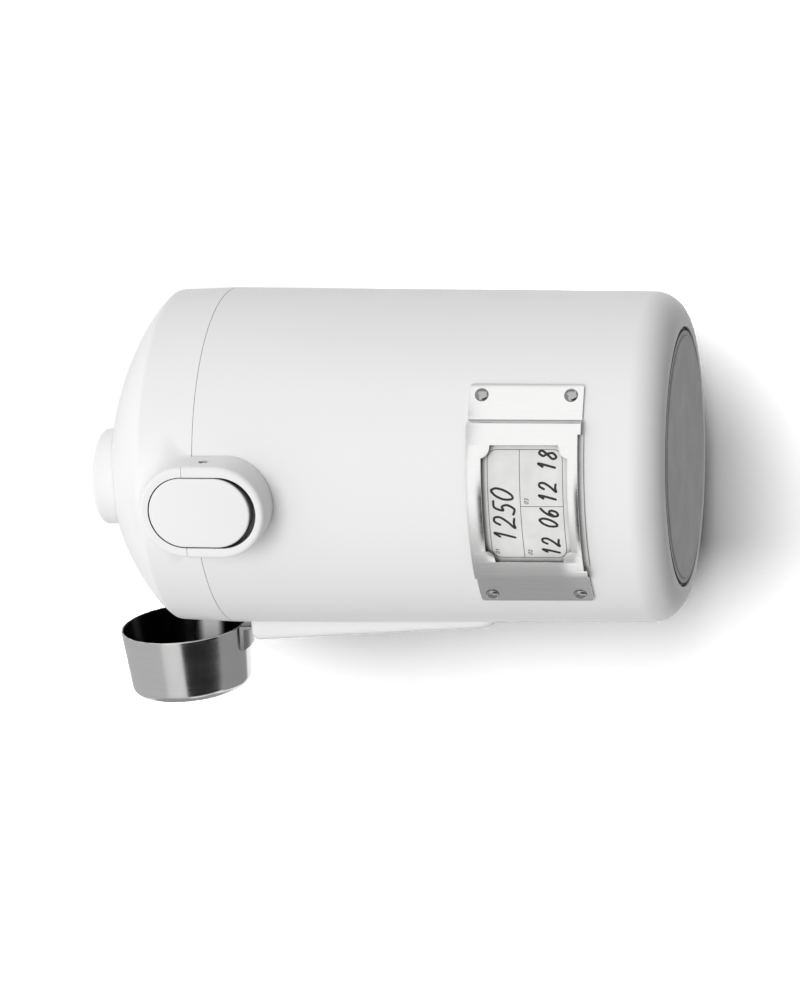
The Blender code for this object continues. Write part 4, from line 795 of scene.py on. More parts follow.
class CANISTER_OT_materials(bpy.types.Operator):
    """Make the canister's materials, and give the carried-over pieces theirs"""
    bl_idname = "canister.materials"
    bl_label = "Materials"

    def execute(self, context):
        look = finish()
        steel = tuple(look.steel)
        PAINTS["white"] = moulded("satin_white", tuple(look.white), look.gloss)
        PAINTS["inner"] = moulded("inner_white", tuple(look.inner), look.gloss * 1.1)
        PAINTS["frame"] = brushed("brushed_sheet", steel, 0.24, (1500, 1500, 24))
        PAINTS["cup"] = brushed("spun_steel", shade(steel, 0.85), 0.17, (1400, 30, 30),
                                turn=(0, -SCOOP_TILT, 0), depth=0.000004)
        # The handle's steel is darkened to 0.4 as painted shade.
        PAINTS["handle"] = brushed("handle_steel_painted_shade", shade(steel, 0.4), 0.25, (30, 30, 1400))
        # Inside the cup: a nearly black colour as painted shade, with a light band as a painted reflection.
        PAINTS["cup_inside"] = painted_reflection_band("cup_inside_painted_reflection", shade(steel, 0.04), shade(steel, 0.95), 0.22,
                                      CUP_CENTRE.z - BAND_DROP, BAND_HALF, BAND_REACH)
        PAINTS["bright"] = polished("bright_steel", shade(steel, 0.9), 0.12)
        # The rivets take a strong painted shade: darker all over and much darker towards their rims.
        PAINTS["rivet"] = polished("rivet_steel", steel, 0.13, 1.9)
        # A darker rubber for the pad's step wall, as painted shade in the groove.
        PAINTS["groove"] = speckled("rubber_groove_painted_shade", shade(look.rubber, 0.6), 0.9, 1400, 0.00006)
        PAINTS["plain"] = polished("plain_steel", shade(steel, 0.65), 0.32)
        PAINTS["rubber"] = speckled("grey_rubber", tuple(look.rubber), 0.85, 1400, 0.00006)
        PAINTS["silicone"] = speckled("silicone", (0.7, 0.7, 0.69), 0.5, 900, 0.00001)
        PAINTS["card"] = speckled("card", tuple(look.card), 0.9, 2400, 0.00002)
        # The black serves the card's print and, on the foot pad's rim and the strips under the label frame,
        # painted shade in gaps.
        PAINTS["ink_and_painted_shade"] = speckled("ink_and_painted_shade", (0.025, 0.025, 0.025), 0.6, 3000, 0.000004)
        PAINTS["rule"] = speckled("ruled_ink", (0.16, 0.16, 0.16), 0.8, 3000, 0.000004)
        finishes = {row["node"]: row["material_slot"] for row in frame["record"]["subparts"]}
        for name, node in frame["nodes"].items():
            node.data.materials.clear()
            node.data.materials.append(PAINTS[SLOT_PAINTS[finishes[name]]])
        return {"FINISHED"}


class CANISTER_OT_shell(bpy.types.Operator):
    """Spin the tapered shell, and add its hinge ears and foot pad"""
    bl_idname = "canister.shell"
    bl_label = "Shell and foot"

    def execute(self, context):
        ledge = BODY_TOP - LEDGE_DROP
        ledge_wall = shell_radius(ledge) - WALL
        rim = BODY_TOP + SEAM_CLOSE
        shell = turned("shell_wall", rounded([
            (shell_radius(rim) - WALL, rim, 0),
            (shell_radius(rim), rim, EDGE),
            (shell_radius(FOOT_LIFT), FOOT_LIFT, FOOT_FILLET),
            (PAD_RADIUS + RECESS_GAP, FOOT_LIFT, EDGE),
            (PAD_RADIUS + RECESS_GAP, RECESS_DEPTH, 0),
            (FOOT_HOLE_RADIUS, RECESS_DEPTH, 0),
            (FOOT_HOLE_RADIUS, FLOOR_HEIGHT, 0),
            (shell_radius(FLOOR_HEIGHT) - WALL, FLOOR_HEIGHT, FLOOR_FILLET),
            (ledge_wall, ledge - LEDGE_FOOT, 0),
            (ledge_wall - LEDGE_REACH, ledge - LEDGE_THICKNESS, 0),
            (ledge_wall - LEDGE_REACH, ledge, 0),
            (ledge_wall, ledge, 0),
            (shell_radius(rim) - WALL, rim, 0)], 20))
        settle(shell, "canister", "white_plastic", "outer_shell")
        self.hinge()
        self.pad()
        return {"FINISHED"}

    def hinge(self):
        y, z = HINGE_PLACE.y, HINGE_PLACE.z
        low = SEAM - HINGE_DROP
        ear = [(HINGE_ROOT, low), (SEAM_RADIUS + EAR_STAND, low)]
        ear += arc((y, z), KNUCKLE_RADIUS, -35, 150, 24)
        ear += [(HINGE_ROOT, z)]
        for side, (near, far) in enumerate(((-EAR_FAR, -EAR_NEAR), (EAR_NEAR, EAR_FAR))):
            plate = side_slab("hinge_ear_%d" % (side + 1), ear, near, far)
            soften(plate, EAR_ROUND)
            settle(plate, "canister", "white_plastic")
        top = SEAM - KNUCKLE_RADIUS - SEAM_GAP
        land = side_slab("hinge_land", [
            (HINGE_ROOT, low), (SEAM_RADIUS, low), (LAND_FACE, top - LAND_SLOPE), (LAND_FACE, top),
            (HINGE_ROOT, top)], -EAR_NEAR, EAR_NEAR)
        settle(land, "canister", "white_plastic")

    def pad(self):
        outer = PAD_RADIUS - PAD_INSET
        band = outer - PAD_STEP_WIDTH
        pad = turned("foot_disc", rounded([
            (0, PAD_THICKNESS, 0), (outer, PAD_THICKNESS, 0), (outer, PAD_STEP_HEIGHT, SOFT_EDGE),
            (band, PAD_STEP_HEIGHT, SHARP_EDGE), (band - PAD_STEP_SLOPE, 0, EDGE),
            (DIMPLE_RADIUS, 0, SHARP_EDGE), (DIMPLE_FLOOR_RADIUS, DIMPLE_DEPTH, SHARP_EDGE),
            (0, DIMPLE_DEPTH, 0)], 5), 144)
        settle(pad, "canister", "grey_rubber", "foot_pad")
        # The pad's outer wall is painted black as shade in the gap round it, and the step's wall a darker
        # rubber as shade in the groove.
        pad.data.materials.append(PAINTS["ink_and_painted_shade"])
        pad.data.materials.append(PAINTS["groove"])
        for face in pad.data.polygons:
            reach = math.hypot(face.center.x, face.center.y)
            if reach > outer - SOFT_EDGE and face.center.z > EDGE:
                face.material_index = 1
            elif abs(reach - band) < GROOVE_HALF:
                face.material_index = 2


class CANISTER_OT_vessel(bpy.types.Operator):
    """Spin the food vessel, the lid's lining and its gasket"""
    bl_idname = "canister.vessel"
    bl_label = "Vessel and lining"

    def execute(self, context):
        floor, flange_low = LINER_LOW + VESSEL_WALL, LINER_TOP - VESSEL_WALL
        vessel = turned("food_vessel", rounded([
            (0, floor, 0), (VESSEL_LOW_RADIUS - VESSEL_WALL, floor, VESSEL_INNER_ROUND),
            (VESSEL_HIGH_RADIUS - VESSEL_WALL, LINER_TOP, SOFT_EDGE),
            (FLANGE_RADIUS, LINER_TOP, SOFT_EDGE), (FLANGE_RADIUS, flange_low, EDGE),
            (VESSEL_HIGH_RADIUS, flange_low, 0), (VESSEL_LOW_RADIUS, LINER_LOW, VESSEL_ROUND),
            (0, LINER_LOW, 0)], 8), 128)
        settle(vessel, "canister", "inner_plastic", "inner_liner")
        low = LID_LOW + LINING_LIFT
        high = low + LINING_THICKNESS
        skirt_low = low - SKIRT_DEPTH
        lining = turned("lid_lining", rounded([
            (0, high, 0), (LINING_RADIUS, high, EDGE), (LINING_RADIUS, low, SOFT_EDGE),
            (SKIRT_RADIUS, low, 0), (SKIRT_RADIUS, skirt_low, SKIRT_ROUND),
            (SKIRT_HOLLOW, skirt_low, SKIRT_ROUND), (SKIRT_HOLLOW, low, SKIRT_ROOT_ROUND),
            (0, low, 0)], 6), 128)
        cut(lining, drum("vent_opening", STEM_HOLE, skirt_low, SHOULDER, 48, KNOB_MATRIX))
        settle(lining, "lid", "inner_plastic", "lid_liner")
        foot, top = LINER_TOP + SEAM_GAP, low - SEAM_GAP
        seal = turned("gasket_ring", rounded([
            (GASKET_HOLE, top, 0), (GASKET_RADIUS, top, EDGE),
            (GASKET_RADIUS, foot + GASKET_LIP, EDGE), (GASKET_RADIUS - GASKET_LIP, foot, EDGE),
            (GASKET_HOLE + GASKET_LIP, foot, EDGE), (GASKET_HOLE, foot + GASKET_LIP, EDGE),
            (GASKET_HOLE, top, 0)], 4), 128)
        settle(seal, "lid", "silicone", "lid_gasket")
        return {"FINISHED"}


def dome_section(height, inset):
    """Radius and forward lean of the dome's level section, for an array of heights."""
    rise = DOME_RISE - inset
    level = np.clip((height - SHOULDER) / rise, 0, 1)
    crown = level ** (1 / CROWN_SHARE)
    side = np.maximum(1 - crown * crown, 0) ** (SIDE_SHARE / 2)
    wall = SEAM_RADIUS + (SHOULDER_RADIUS - SEAM_RADIUS) * (height - SEAM) / SHOULDER_HEIGHT - inset
    below = height <= SHOULDER
    over = np.maximum(height - SHOULDER - rise, 0)
    radius = np.where(below, wall, (SHOULDER_RADIUS - inset) * side - over)
    return radius, np.where(below, 0, DOME_LEAN * (1 - side) ** LEAN_SHARE)


def dome_field(points, inset):
    radius, lean = dome_section(points[:, 2], inset)
    return np.hypot(points[:, 0], points[:, 1] + lean) - radius


def lid_field(points, inset):
    """The dome joined to the latch surround by a blend that widens with height."""
    if inset:
        return dome_field(points, inset)
    here = dome_field(points, 0)
    step = SEAM_GAP / 2
    slopes = [dome_field(points + step * axis, 0) - here for axis in np.eye(3)]
    dome = here / np.maximum(np.sqrt(sum(slope ** 2 for slope in slopes)) / step, 1)
    centre = np.clip(points[:, 2], HOUSING_LOW + HOUSING_HALF, SEAM)
    across = np.hypot(points[:, 0], points[:, 2] - centre) - HOUSING_HALF + HOUSING_ROUND
    deep = np.maximum(-points[:, 1] - FACE + HOUSING_ROUND, points[:, 1])
    surround = np.minimum(np.maximum(across, deep), 0) - HOUSING_ROUND + BLEND_INSET
    surround += np.hypot(np.maximum(across, 0), np.maximum(deep, 0))
    share = np.clip((points[:, 2] - SEAM) / BLEND_HEIGHT, 0, 1)
    width = BLEND_LOW + (BLEND_HIGH - BLEND_LOW) * share * share * (3 - 2 * share)
    overlap = np.maximum(width - np.abs(dome - surround), 0) / width
    return np.minimum(dome, surround) - overlap * overlap * width / 4


def lid_surface(origins, directions, inset):
    """Where rays from inside leave the lid's surface."""
    near = np.zeros(len(origins))
    far = np.full(len(origins), 2 * SEAM_RADIUS)
    for _ in range(36):
        middle = (near + far) / 2
        inside = lid_field(origins + directions * middle[:, None], inset) < 0
        near = np.where(inside, middle, near)
        far = np.where(inside, far, middle)
    return origins + directions * near[:, None]


def steps_between(*spans):
    """Angles from zero up, in degrees: each span gives its end and its step."""
    found = [0.0]
    for end, step in spans:
        count = round((end - found[-1]) / step)
        start = found[-1]
        found += [start + (end - start) * (i + 1) / count for i in range(count)]
    return found


def lid_solid(name, inset, low, half_turns, heights, climbs):
    """The leaning dome as a closed skin through level rings and climbing rings."""
    turns = np.radians([-turn for turn in half_turns[:0:-1]] + half_turns[:-1])
    level = [(height, 0.0) for height in heights] + [(heights[-1], climb) for climb in climbs[1:]]
    loops = []
    for height, climb in [(low, 0.0)] + level[1:]:
        climb = math.radians(min(climb, STEEPEST_CLIMB))
        directions = np.stack([np.sin(turns) * math.cos(climb), -np.cos(turns) * math.cos(climb),
                               np.full(len(turns), math.sin(climb))], 1)
        origins = np.tile([0.0, 0.0, height], (len(turns), 1))
        loops.append([Vector(point) for point in lid_surface(origins, directions, inset)])
    return lofted(name, loops)


def pocket_cutter(name, mouth_round):
    """The opening that the button fills, with a softly rounded mouth."""
    half = BUTTON_HALF + POCKET_GAP
    low, high = BUTTON_LOW - POCKET_FOOT_GAP, BUTTON_HIGH + POCKET_TOP_GAP
    depths = [(FACE + WALL, mouth_round)]
    depths += [(FACE - mouth_round * (1 - math.cos(turn)), mouth_round * (1 - math.sin(turn)))
               for turn in (math.radians(15 * i) for i in range(7))]
    depths.append((POCKET_BACK, 0.0))
    loops = []
    for place, flare in depths:
        outline = stadium(half + flare, low - flare, high + flare, 48)
        loops.append([Vector((x, -place, z)) for x, z in outline])
    return lofted(name, loops)


def knuckle():
    """The lid's middle knuckle, its web and the heel that stops the open lid."""
    y, z = HINGE_PLACE.y, HINGE_PLACE.z
    outline = arc((y, z), KNUCKLE_RADIUS, -180, 90, 36)
    outline += [(HINGE_ROOT, z + KNUCKLE_RADIUS), (HINGE_ROOT, LID_LOW), (y - KNUCKLE_WEB, LID_LOW)]
    body = side_slab("lid_knuckle", outline, -KNUCKLE_HALF, KNUCKLE_HALF)
    half = HEEL_THICKNESS / 2
    heel = side_slab("lid_heel", [(0, -half), (HEEL_LENGTH, -half), (HEEL_LENGTH, half), (0, half)],
                     -HEEL_HALF, HEEL_HALF)
    heel.data.transform(Matrix.Translation(HINGE_PLACE) @ Matrix.Rotation(HEEL_TURN, 4, "X"))
    join(body, heel)
    return soften(body, SOFT_EDGE, 2)


class CANISTER_OT_lid(bpy.types.Operator):
    """Shape the domed lid with its half of the latch surround, its well and its knuckle"""
    bl_idname = "canister.lid"
    bl_label = "Lid"

    def execute(self, context):
        belt = SHOULDER - SHOULDER_HEIGHT / 2
        fine = [LID_LOW + (belt - LID_LOW) * i / 24 for i in range(25)]
        lid = lid_solid("lid_dome", 0, LID_LOW, steps_between((18, 0.25), (30, 0.6), (180, 2)), fine,
                        steps_between((8, 0.3), (25, 0.8), (90, 2)))
        plain = ([LID_LOW, belt], steps_between((90, 5)))
        turns = steps_between((180, 4))
        cut(lid, lid_solid("lid_inside", WALL, LID_LOW - WALL, turns, *plain))
        well = KNOB_RADIUS + SEAM_GAP
        core = drum("lid_core", well + WELL_WALL, WELL_BOTTOM - WELL_FLOOR, KNOB_TOP, 96, KNOB_MATRIX)
        combined(core, lid_solid("lid_middle", WALL / 2, LID_LOW, turns, *plain), "INTERSECT")
        join(lid, core)
        cut(lid, drum("lid_well", well, WELL_BOTTOM, KNOB_TOP + WALL, 96, KNOB_MATRIX),
            pocket_cutter("lid_pocket", MOUTH_ROUND))
        settle(lid, "lid", "white_plastic", "lid_shell", angle=28)
        settle(knuckle(), "lid", "white_plastic")
        return {"FINISHED"}


class CANISTER_OT_knob(bpy.types.Operator):
    """Spin the vent's push knob and its seal"""
    bl_idname = "canister.knob"
    bl_label = "Vent knob"

    def execute(self, context):
        inner, ceiling = KNOB_RADIUS - KNOB_WALL, KNOB_TOP - KNOB_WALL
        boss_low = KNOB_TOP - KNOB_BOSS_DEPTH
        knob = turned("push_knob", rounded([
            (0, KNOB_TOP, 0), (KNOB_RADIUS, KNOB_TOP - KNOB_CROWN, sizes().knob_round),
            (KNOB_RADIUS, KNOB_LOW, SOFT_EDGE), (inner, KNOB_LOW, SOFT_EDGE),
            (inner, ceiling, KNOB_INNER_ROUND),
            (KNOB_BOSS_RADIUS, ceiling, 0), (KNOB_BOSS_RADIUS, boss_low, 0), (STEM_HOLE, boss_low, 0),
            (STEM_HOLE, ceiling, 0), (0, ceiling, 0)], 8), 144, KNOB_MATRIX)
        settle(knob, "vent", "white_plastic", "vent_knob")
        seal = turned("vent_disc", rounded([
            (STEM_HOLE, SEAL_HIGH, 0), (SEAL_RADIUS, SEAL_HIGH, SOFT_EDGE),
            (SEAL_RADIUS, SEAL_LOW, SOFT_EDGE), (STEM_HOLE, SEAL_LOW, SHARP_EDGE),
            (STEM_HOLE, SEAL_HIGH, 0)], 4), 72, KNOB_MATRIX)
        settle(seal, "vent", "silicone", "vent_seal")
        return {"FINISHED"}


PIN_MATRIX = Matrix.Translation(PIN_PLACE) @ Matrix.Rotation(math.radians(90), 4, "Y")


def near_face(one, other):
    """Whether an edge lies in the plane of the latch's face."""
    return max(one.y, other.y) < EDGE - FACE


class CANISTER_OT_latch(bpy.types.Operator):
    """Model the latch's lower surround, its pin and its rocker button"""
    bl_idname = "canister.latch"
    bl_label = "Latch"

    def execute(self, context):
        past = BODY_TOP + 2 * HOUSING_ROUND
        outline = arc((0, HOUSING_LOW + HOUSING_HALF), HOUSING_HALF, 180, 360, 64)
        outline += [(HOUSING_HALF, past), (-HOUSING_HALF, past)]
        surround = front_slab("latch_surround", outline, FACE, HOUSING_ROOT)
        bevel_edges(surround, near_face, HOUSING_ROUND, 8)
        side = HOUSING_HALF + WALL
        head = HOUSING_HALF - PIN_HEAD_DEPTH
        pin_seat = turned("pin_seat", [(0, -side), (PIN_BORE, -side), (PIN_BORE, head),
                                       (PIN_HEAD_SEAT, head), (PIN_HEAD_SEAT, side), (0, side)],
                          48, PIN_MATRIX)
        cut(surround, block("surround_trim", (-side, -FACE - WALL, BODY_TOP), (side, 0, past + WALL)),
            wall_cone("surround_seat", SEAT), pocket_cutter("surround_pocket", MOUTH_ROUND), pin_seat)
        settle(surround, "canister", "white_plastic", "latch_housing", angle=28)
        end = HOUSING_HALF - PIN_SHY
        pin = turned("rocker_pin", rounded([
            (0, end - PIN_DOME, 0), (PIN_RADIUS, end - 2 * PIN_DOME, PIN_ROUND),
            (PIN_RADIUS, -end, SOFT_EDGE), (0, -end, 0)], 6), 48, PIN_MATRIX)
        settle(pin, "canister", "polished_steel", "latch_pin")
        self.button()
        return {"FINISHED"}

    def button(self):
        """The hollow button with its web, bored boss, hook, stop and spring post."""
        button = front_slab("rocker_button", stadium(BUTTON_HALF, BUTTON_LOW, BUTTON_HIGH, 64), FACE,
                            FACE - BUTTON_DEPTH)
        bevel_edges(button, near_face, sizes().button_round, 6)
        hollow = stadium(BUTTON_HALF - BUTTON_WALL, BUTTON_LOW + BUTTON_WALL, BUTTON_HIGH - BUTTON_WALL)
        cut(button, front_slab("button_hollow", hollow, FACE - BUTTON_SKIN, FACE - BUTTON_DEPTH - WALL))
        reach = BUTTON_HALF - BUTTON_WALL / 4
        y, z = PIN_PLACE.y, PIN_PLACE.z
        web = block("button_web", (-reach, -BUTTON_ROOT, z - WEB_HALF), (reach, y, z + WEB_HALF))
        boss = drum("button_boss", BOSS_RADIUS, -reach, reach, 48, PIN_MATRIX)
        hook = block("button_hook", (-HOOK_HALF, -BUTTON_ROOT, HOOK_LOW),
                     (HOOK_HALF, -HOOK_BACK, HOOK_LOW + HOOK_THICKNESS))
        soften(hook, SOFT_EDGE, 2)
        stop = block("button_stop", (-STOP_HALF, -BUTTON_ROOT, BODY_TOP - STOP_DROP),
                     (STOP_HALF, -STOP_BACK, BODY_TOP - SEAM_GAP))
        inward = Matrix.Rotation(math.radians(-90), 4, "X")
        post = drum("spring_post", POST_RADIUS, 0, POST_LENGTH, 32,
                    Matrix.Translation((0, -BUTTON_ROOT, z - POST_DROP)) @ inward)
        join(button, web, boss, hook, stop, post)
        past = BUTTON_HALF + WALL
        cut(button, drum("button_bore", PIN_BORE, -past, past, 48, PIN_MATRIX))
        settle(button, "latch", "white_plastic", "latch_button", angle=28)


# Label

def curved_blank(name, stations, thickness, low, high):
    """A bent strip that follows the shell: (angle, stand) stations, extruded up the taper."""
    base = shell_radius(low)
    loop = [around(turn, base + stand, low) for turn, stand in stations]
    loop += [around(turn, base + stand + thickness, low) for turn, stand in reversed(stations)]
    loops = []
    count = 5
    for i in range(count):
        height = low + (high - low) * i / (count - 1)
        shift = shell_radius(height) - base
        ring = []
        for point in loop:
            flat = Vector((point.x, point.y, 0))
            moved = flat + flat.normalized() * shift
            ring.append(Vector((moved.x, moved.y, height)))
        loops.append(ring)
    return lofted(name, loops)


def bent_stations():
    """Flat feet, two soft bends and the raised middle, as (angle, stand) pairs."""
    half = [(FRAME_TURN + (BEND_START - FRAME_TURN) * i / 8, 0.0) for i in range(8)]
    for i in range(17):
        share = i / 16
        half.append((BEND_START + (BEND_END - BEND_START) * share,
                     FRAME_RISE * (1 - math.cos(math.pi * share)) / 2))
    middle = [(BEND_END * (1 - i / 24), FRAME_RISE) for i in range(1, 48)]
    whole = half + middle + [(-turn, stand) for turn, stand in reversed(half)]
    return [(-turn, FRAME_STAND + stand) for turn, stand in whole]


def middle_stations():
    """The strip between the card and the underside of the frame's raised middle."""
    return [(-BEND_END * (1 - i / 20), CARD_STAND + CARD_THICKNESS + CARD_CLEAR) for i in range(41)]


def window_outline():
    """The window as (x, z) points, its corners notched by quarter rounds with soft tips."""
    half = shell_radius((WINDOW_LOW + WINDOW_HIGH) / 2) * math.sin(WINDOW_HALF / shell_radius(WINDOW_LOW))
    points = []
    for across, up, start, end in ((half, WINDOW_LOW, 180, 90), (half, WINDOW_HIGH, 270, 180),
                                   (-half, WINDOW_HIGH, 360, 270), (-half, WINDOW_LOW, 90, 0)):
        for x, y in arc((0, 0), 1, start, end, 12):
            points.append((across + NOTCH_WIDTH * x, up + NOTCH_HEIGHT * y))
    return points


def rivet_seats():
    seats = []
    for height in (FRAME_LOW + RIVET_INSET, FRAME_HIGH - RIVET_INSET):
        for turn in (-RIVET_TURN, RIVET_TURN):
            seats.append(around(turn, shell_radius(height) + FRAME_STAND + FRAME_THICKNESS, height))
    return seats


def at_corner(one, other):
    """Whether an edge runs through the frame's thickness at one of its corners."""
    ends = [abs(abs(math.atan2(point.x, -point.y)) - FRAME_TURN) < NEAR_TURN
            and min(point.z - FRAME_LOW, FRAME_HIGH - point.z) < NEAR
            for point in (one, other)]
    return all(ends) and (one - other).length < 2 * FRAME_THICKNESS


class CANISTER_OT_label_frame(bpy.types.Operator):
    """Bend the steel label frame, cut its window and set its rivets"""
    bl_idname = "canister.label_frame"
    bl_label = "Label frame and rivets"

    def execute(self, context):
        plate = curved_blank("steel_frame", bent_stations(), FRAME_THICKNESS, FRAME_LOW, FRAME_HIGH)
        bevel_edges(plate, at_corner, FRAME_CORNER, 6)
        side = (shell_radius(FRAME_LOW) + FRAME_RISE) * math.sin(CARD_TURN)
        cut(plate, front_slab("label_window", window_outline(), FACE, FACE / 2),
            block("card_relief", (-side, -FACE, FRAME_LOW - WALL),
                  (side, -FACE / 2, FRAME_LOW + FRAME_RELIEF)))
        soften(plate, FRAME_EDGE, 2, 50)
        settle(plate, "canister", "brushed_steel", "label_frame", angle=30)
        # Black strips under the frame's raised middle, near its lower edge and above the window, as painted
        # shade in the gap beneath it.
        shade_strip = [(turn * SHADE_STRIP_SHARE, stand) for turn, stand in middle_stations()]
        for i, low in enumerate(SHADE_STRIP_LOWS):
            strip = curved_blank("painted_shade_strip_%d" % (i + 1), shade_strip, SHADE_STRIP_THICKNESS, low, low + SHADE_STRIP_WIDTH)
            settle(strip, "canister", "grey_rubber", paint="ink_and_painted_shade")
        crown = arc((0, 0), 1, 90, 0, 9)
        profile = [(sizes().rivet_head * x, RIVET_RISE * y) for x, y in crown]
        profile += [(SHANK_RADIUS, 0), (SHANK_RADIUS, -SHANK_LENGTH), (SHANK_FLARE, -SHANK_LENGTH),
                    (0, -SHANK_POINT)]
        for i, seat in enumerate(rivet_seats()):
            axis = Vector((seat.x, seat.y, 0)).normalized()
            place = Matrix.Translation(seat) @ axis.to_track_quat("Z", "Y").to_matrix().to_4x4()
            rivet = turned("frame_rivet_%d" % (i + 1), profile, 48, place)
            settle(rivet, "canister", "polished_steel", "label_rivet_%d" % (i + 1),
                   angle=50, paint="rivet")
        return {"FINISHED"}


def card_point(across, height, stand):
    """A point on the card from its place round the shell in metres."""
    radius = shell_radius(height) + CARD_STAND + CARD_THICKNESS
    return around(across / radius, radius + stand, height)


def eased(points, steps=8):
    """A smooth line through points."""
    ends = [points[0]] + list(points) + [points[-1]]
    line = []
    for before, one, two, after in zip(ends, ends[1:], ends[2:], ends[3:]):
        for i in range(steps):
            t = i / steps
            line.append(tuple(
                ((2 * b) + (c - a) * t + (2 * a - 5 * b + 4 * c - d) * t * t
                 + (3 * b - a - 3 * c + d) * t ** 3) / 2
                for a, b, c, d in zip(before, one, two, after)))
    return line + [points[-1]]


def pen_stroke(work, line, width, proud=PEN_PROUD):
    """A raised ribbon along a line of (across, height) points on the card, with round ends."""
    points = [Vector(point) for point in line]
    kept = [points[0]]
    for point in points[1:]:
        if (point - kept[-1]).length > width / 12:
            kept.append(point)
    edges = []
    for i, point in enumerate(kept):
        ahead = (kept[min(i + 1, len(kept) - 1)] - kept[max(i - 1, 0)]).normalized()
        edges.append((point, Vector((-ahead.y, ahead.x)) * width / 2, ahead * width / 2))
    ends = []
    for (point, side, ahead), way in ((edges[0], -1), (edges[-1], 1)):
        ends.append([(point + ahead * share * way, side * math.sqrt(1 - share * share))
                     for share in (0.35, 0.7, 0.98)])
    rings = []
    for point, side in ends[0][::-1] + [(point, side) for point, side, _ in edges] + ends[1]:
        corners = ((point + side, proud), (point - side, proud), (point - side, -proud),
                   (point + side, -proud))
        rings.append([work.verts.new(card_point(*place, stand)) for place, stand in corners])
    skin(work, rings)


FIGURES = {
    "0": [[(0.55, 1.0), (0.2, 0.8), (0.03, 0.42), (0.25, 0.02), (0.6, 0.05), (0.9, 0.4), (0.92, 0.78),
           (0.62, 1.0), (0.4, 0.93)]],
    "1": [[(0.22, 0.72), (0.5, 0.98), (0.52, 0.6), (0.45, 0.0)]],
    "2": [[(0.1, 0.72), (0.3, 0.97), (0.7, 0.96), (0.85, 0.7), (0.55, 0.36), (0.06, 0.02), (0.5, 0.06),
           (1.0, 0.03)]],
    "3": [[(0.15, 0.92), (0.55, 1.0), (0.8, 0.78), (0.42, 0.53), (0.86, 0.3), (0.5, 0.0), (0.08, 0.1)]],
    "5": [[(0.95, 1.0), (0.35, 0.96), (0.24, 0.56), (0.6, 0.6), (0.85, 0.34), (0.6, 0.02), (0.06, 0.08)]],
    "6": [[(0.8, 1.0), (0.35, 0.72), (0.1, 0.3), (0.35, 0.0), (0.75, 0.08), (0.82, 0.38), (0.5, 0.5),
           (0.18, 0.26)]],
    "8": [[(0.62, 0.54), (0.2, 0.76), (0.45, 1.0), (0.85, 0.84), (0.5, 0.52), (0.1, 0.22), (0.42, 0.0),
           (0.82, 0.2), (0.6, 0.52)]],
}


def write_figures(work, text, start, low, height, step, width):
    """Figures with a lean, from a starting place on the card."""
    across = start
    for i, figure in enumerate(text):
        if figure in FIGURES:
            lift = low + height * 0.05 * math.sin(2.3 * i + 1)
            for stroke in FIGURES[figure]:
                line = [(across + step * PEN_SHARE * x + height * PEN_LEAN * y, lift + height * y)
                        for x, y in eased(stroke)]
                pen_stroke(work, line, width)
        across += step


def finished_print(work, name):
    bmesh.ops.recalc_face_normals(work, faces=work.faces)
    return linked_mesh(name, work)


def stepped(one, other, count):
    """Points in even steps from one place up to the next, which is left out."""
    return [tuple(a + (b - a) * i / count for a, b in zip(one, other)) for i in range(count)]


class CANISTER_OT_card(bpy.types.Operator):
    """Bend the label card, rule its fields and write its figures"""
    bl_idname = "canister.card"
    bl_label = "Card"

    def execute(self, context):
        stations = [(CARD_TURN * (i / 24 - 1), CARD_STAND) for i in range(49)]
        card = curved_blank("ruled_card", stations, CARD_THICKNESS, CARD_LOW, CARD_HIGH)
        soften(card, SHARP_EDGE, 2, 50)
        settle(card, "label", "card", "label_card", angle=30)
        width = sizes().line_width
        work = bmesh.new()
        border = rounded([(RULE_RIGHT, RULE_LOW, RULE_CORNER), (RULE_RIGHT, RULE_HIGH, RULE_CORNER),
                          (RULE_LEFT, RULE_HIGH, RULE_CORNER), (RULE_LEFT, RULE_LOW, RULE_CORNER)],
                         8, True)
        full = []
        for one, two in zip(border, border[1:] + border[:1]):
            full += stepped(one, two, max(1, round(math.dist(one, two) / RULE_STEP)))
        level = [(RULE_LEFT, RULE_MIDDLE), (RULE_RIGHT, RULE_MIDDLE)]
        upright = [(RULE_DIVIDE, RULE_LOW), (RULE_DIVIDE, RULE_MIDDLE)]
        for line in (full + full[:2], stepped(*level, 40) + level[1:], stepped(*upright, 12) + upright[1:]):
            pen_stroke(work, line, width, RULE_PROUD)
        for text, start, low in FIELD_NUMBERS:
            write_figures(work, text, start, low, FIELD_HEIGHT, FIELD_STEP, width)
        settle(finished_print(work, "card_rules"), "label", "card", paint="rule")
        work = bmesh.new()
        for row in WRITING:
            write_figures(work, *row, sizes().pen_width)
        settle(finished_print(work, "card_figures"), "label", "card", paint="ink_and_painted_shade")
        return {"FINISHED"}


# Scoop and holder

def scoop_place():
    """Local X is the way the cup's mouth faces, and local Z runs up the handle."""
    lean = Matrix.Rotation(-SCOOP_TILT, 4, "Y")
    return Matrix.Translation(CUP_CENTRE) @ lean


def holder_face(height):
    low = shell_radius(HOLDER_FOOT) + HOLDER_FOOT_STAND
    return low + (HOLDER_FACE - low) * (height - HOLDER_FOOT) / (HOLDER_HIGH - HOLDER_FOOT)


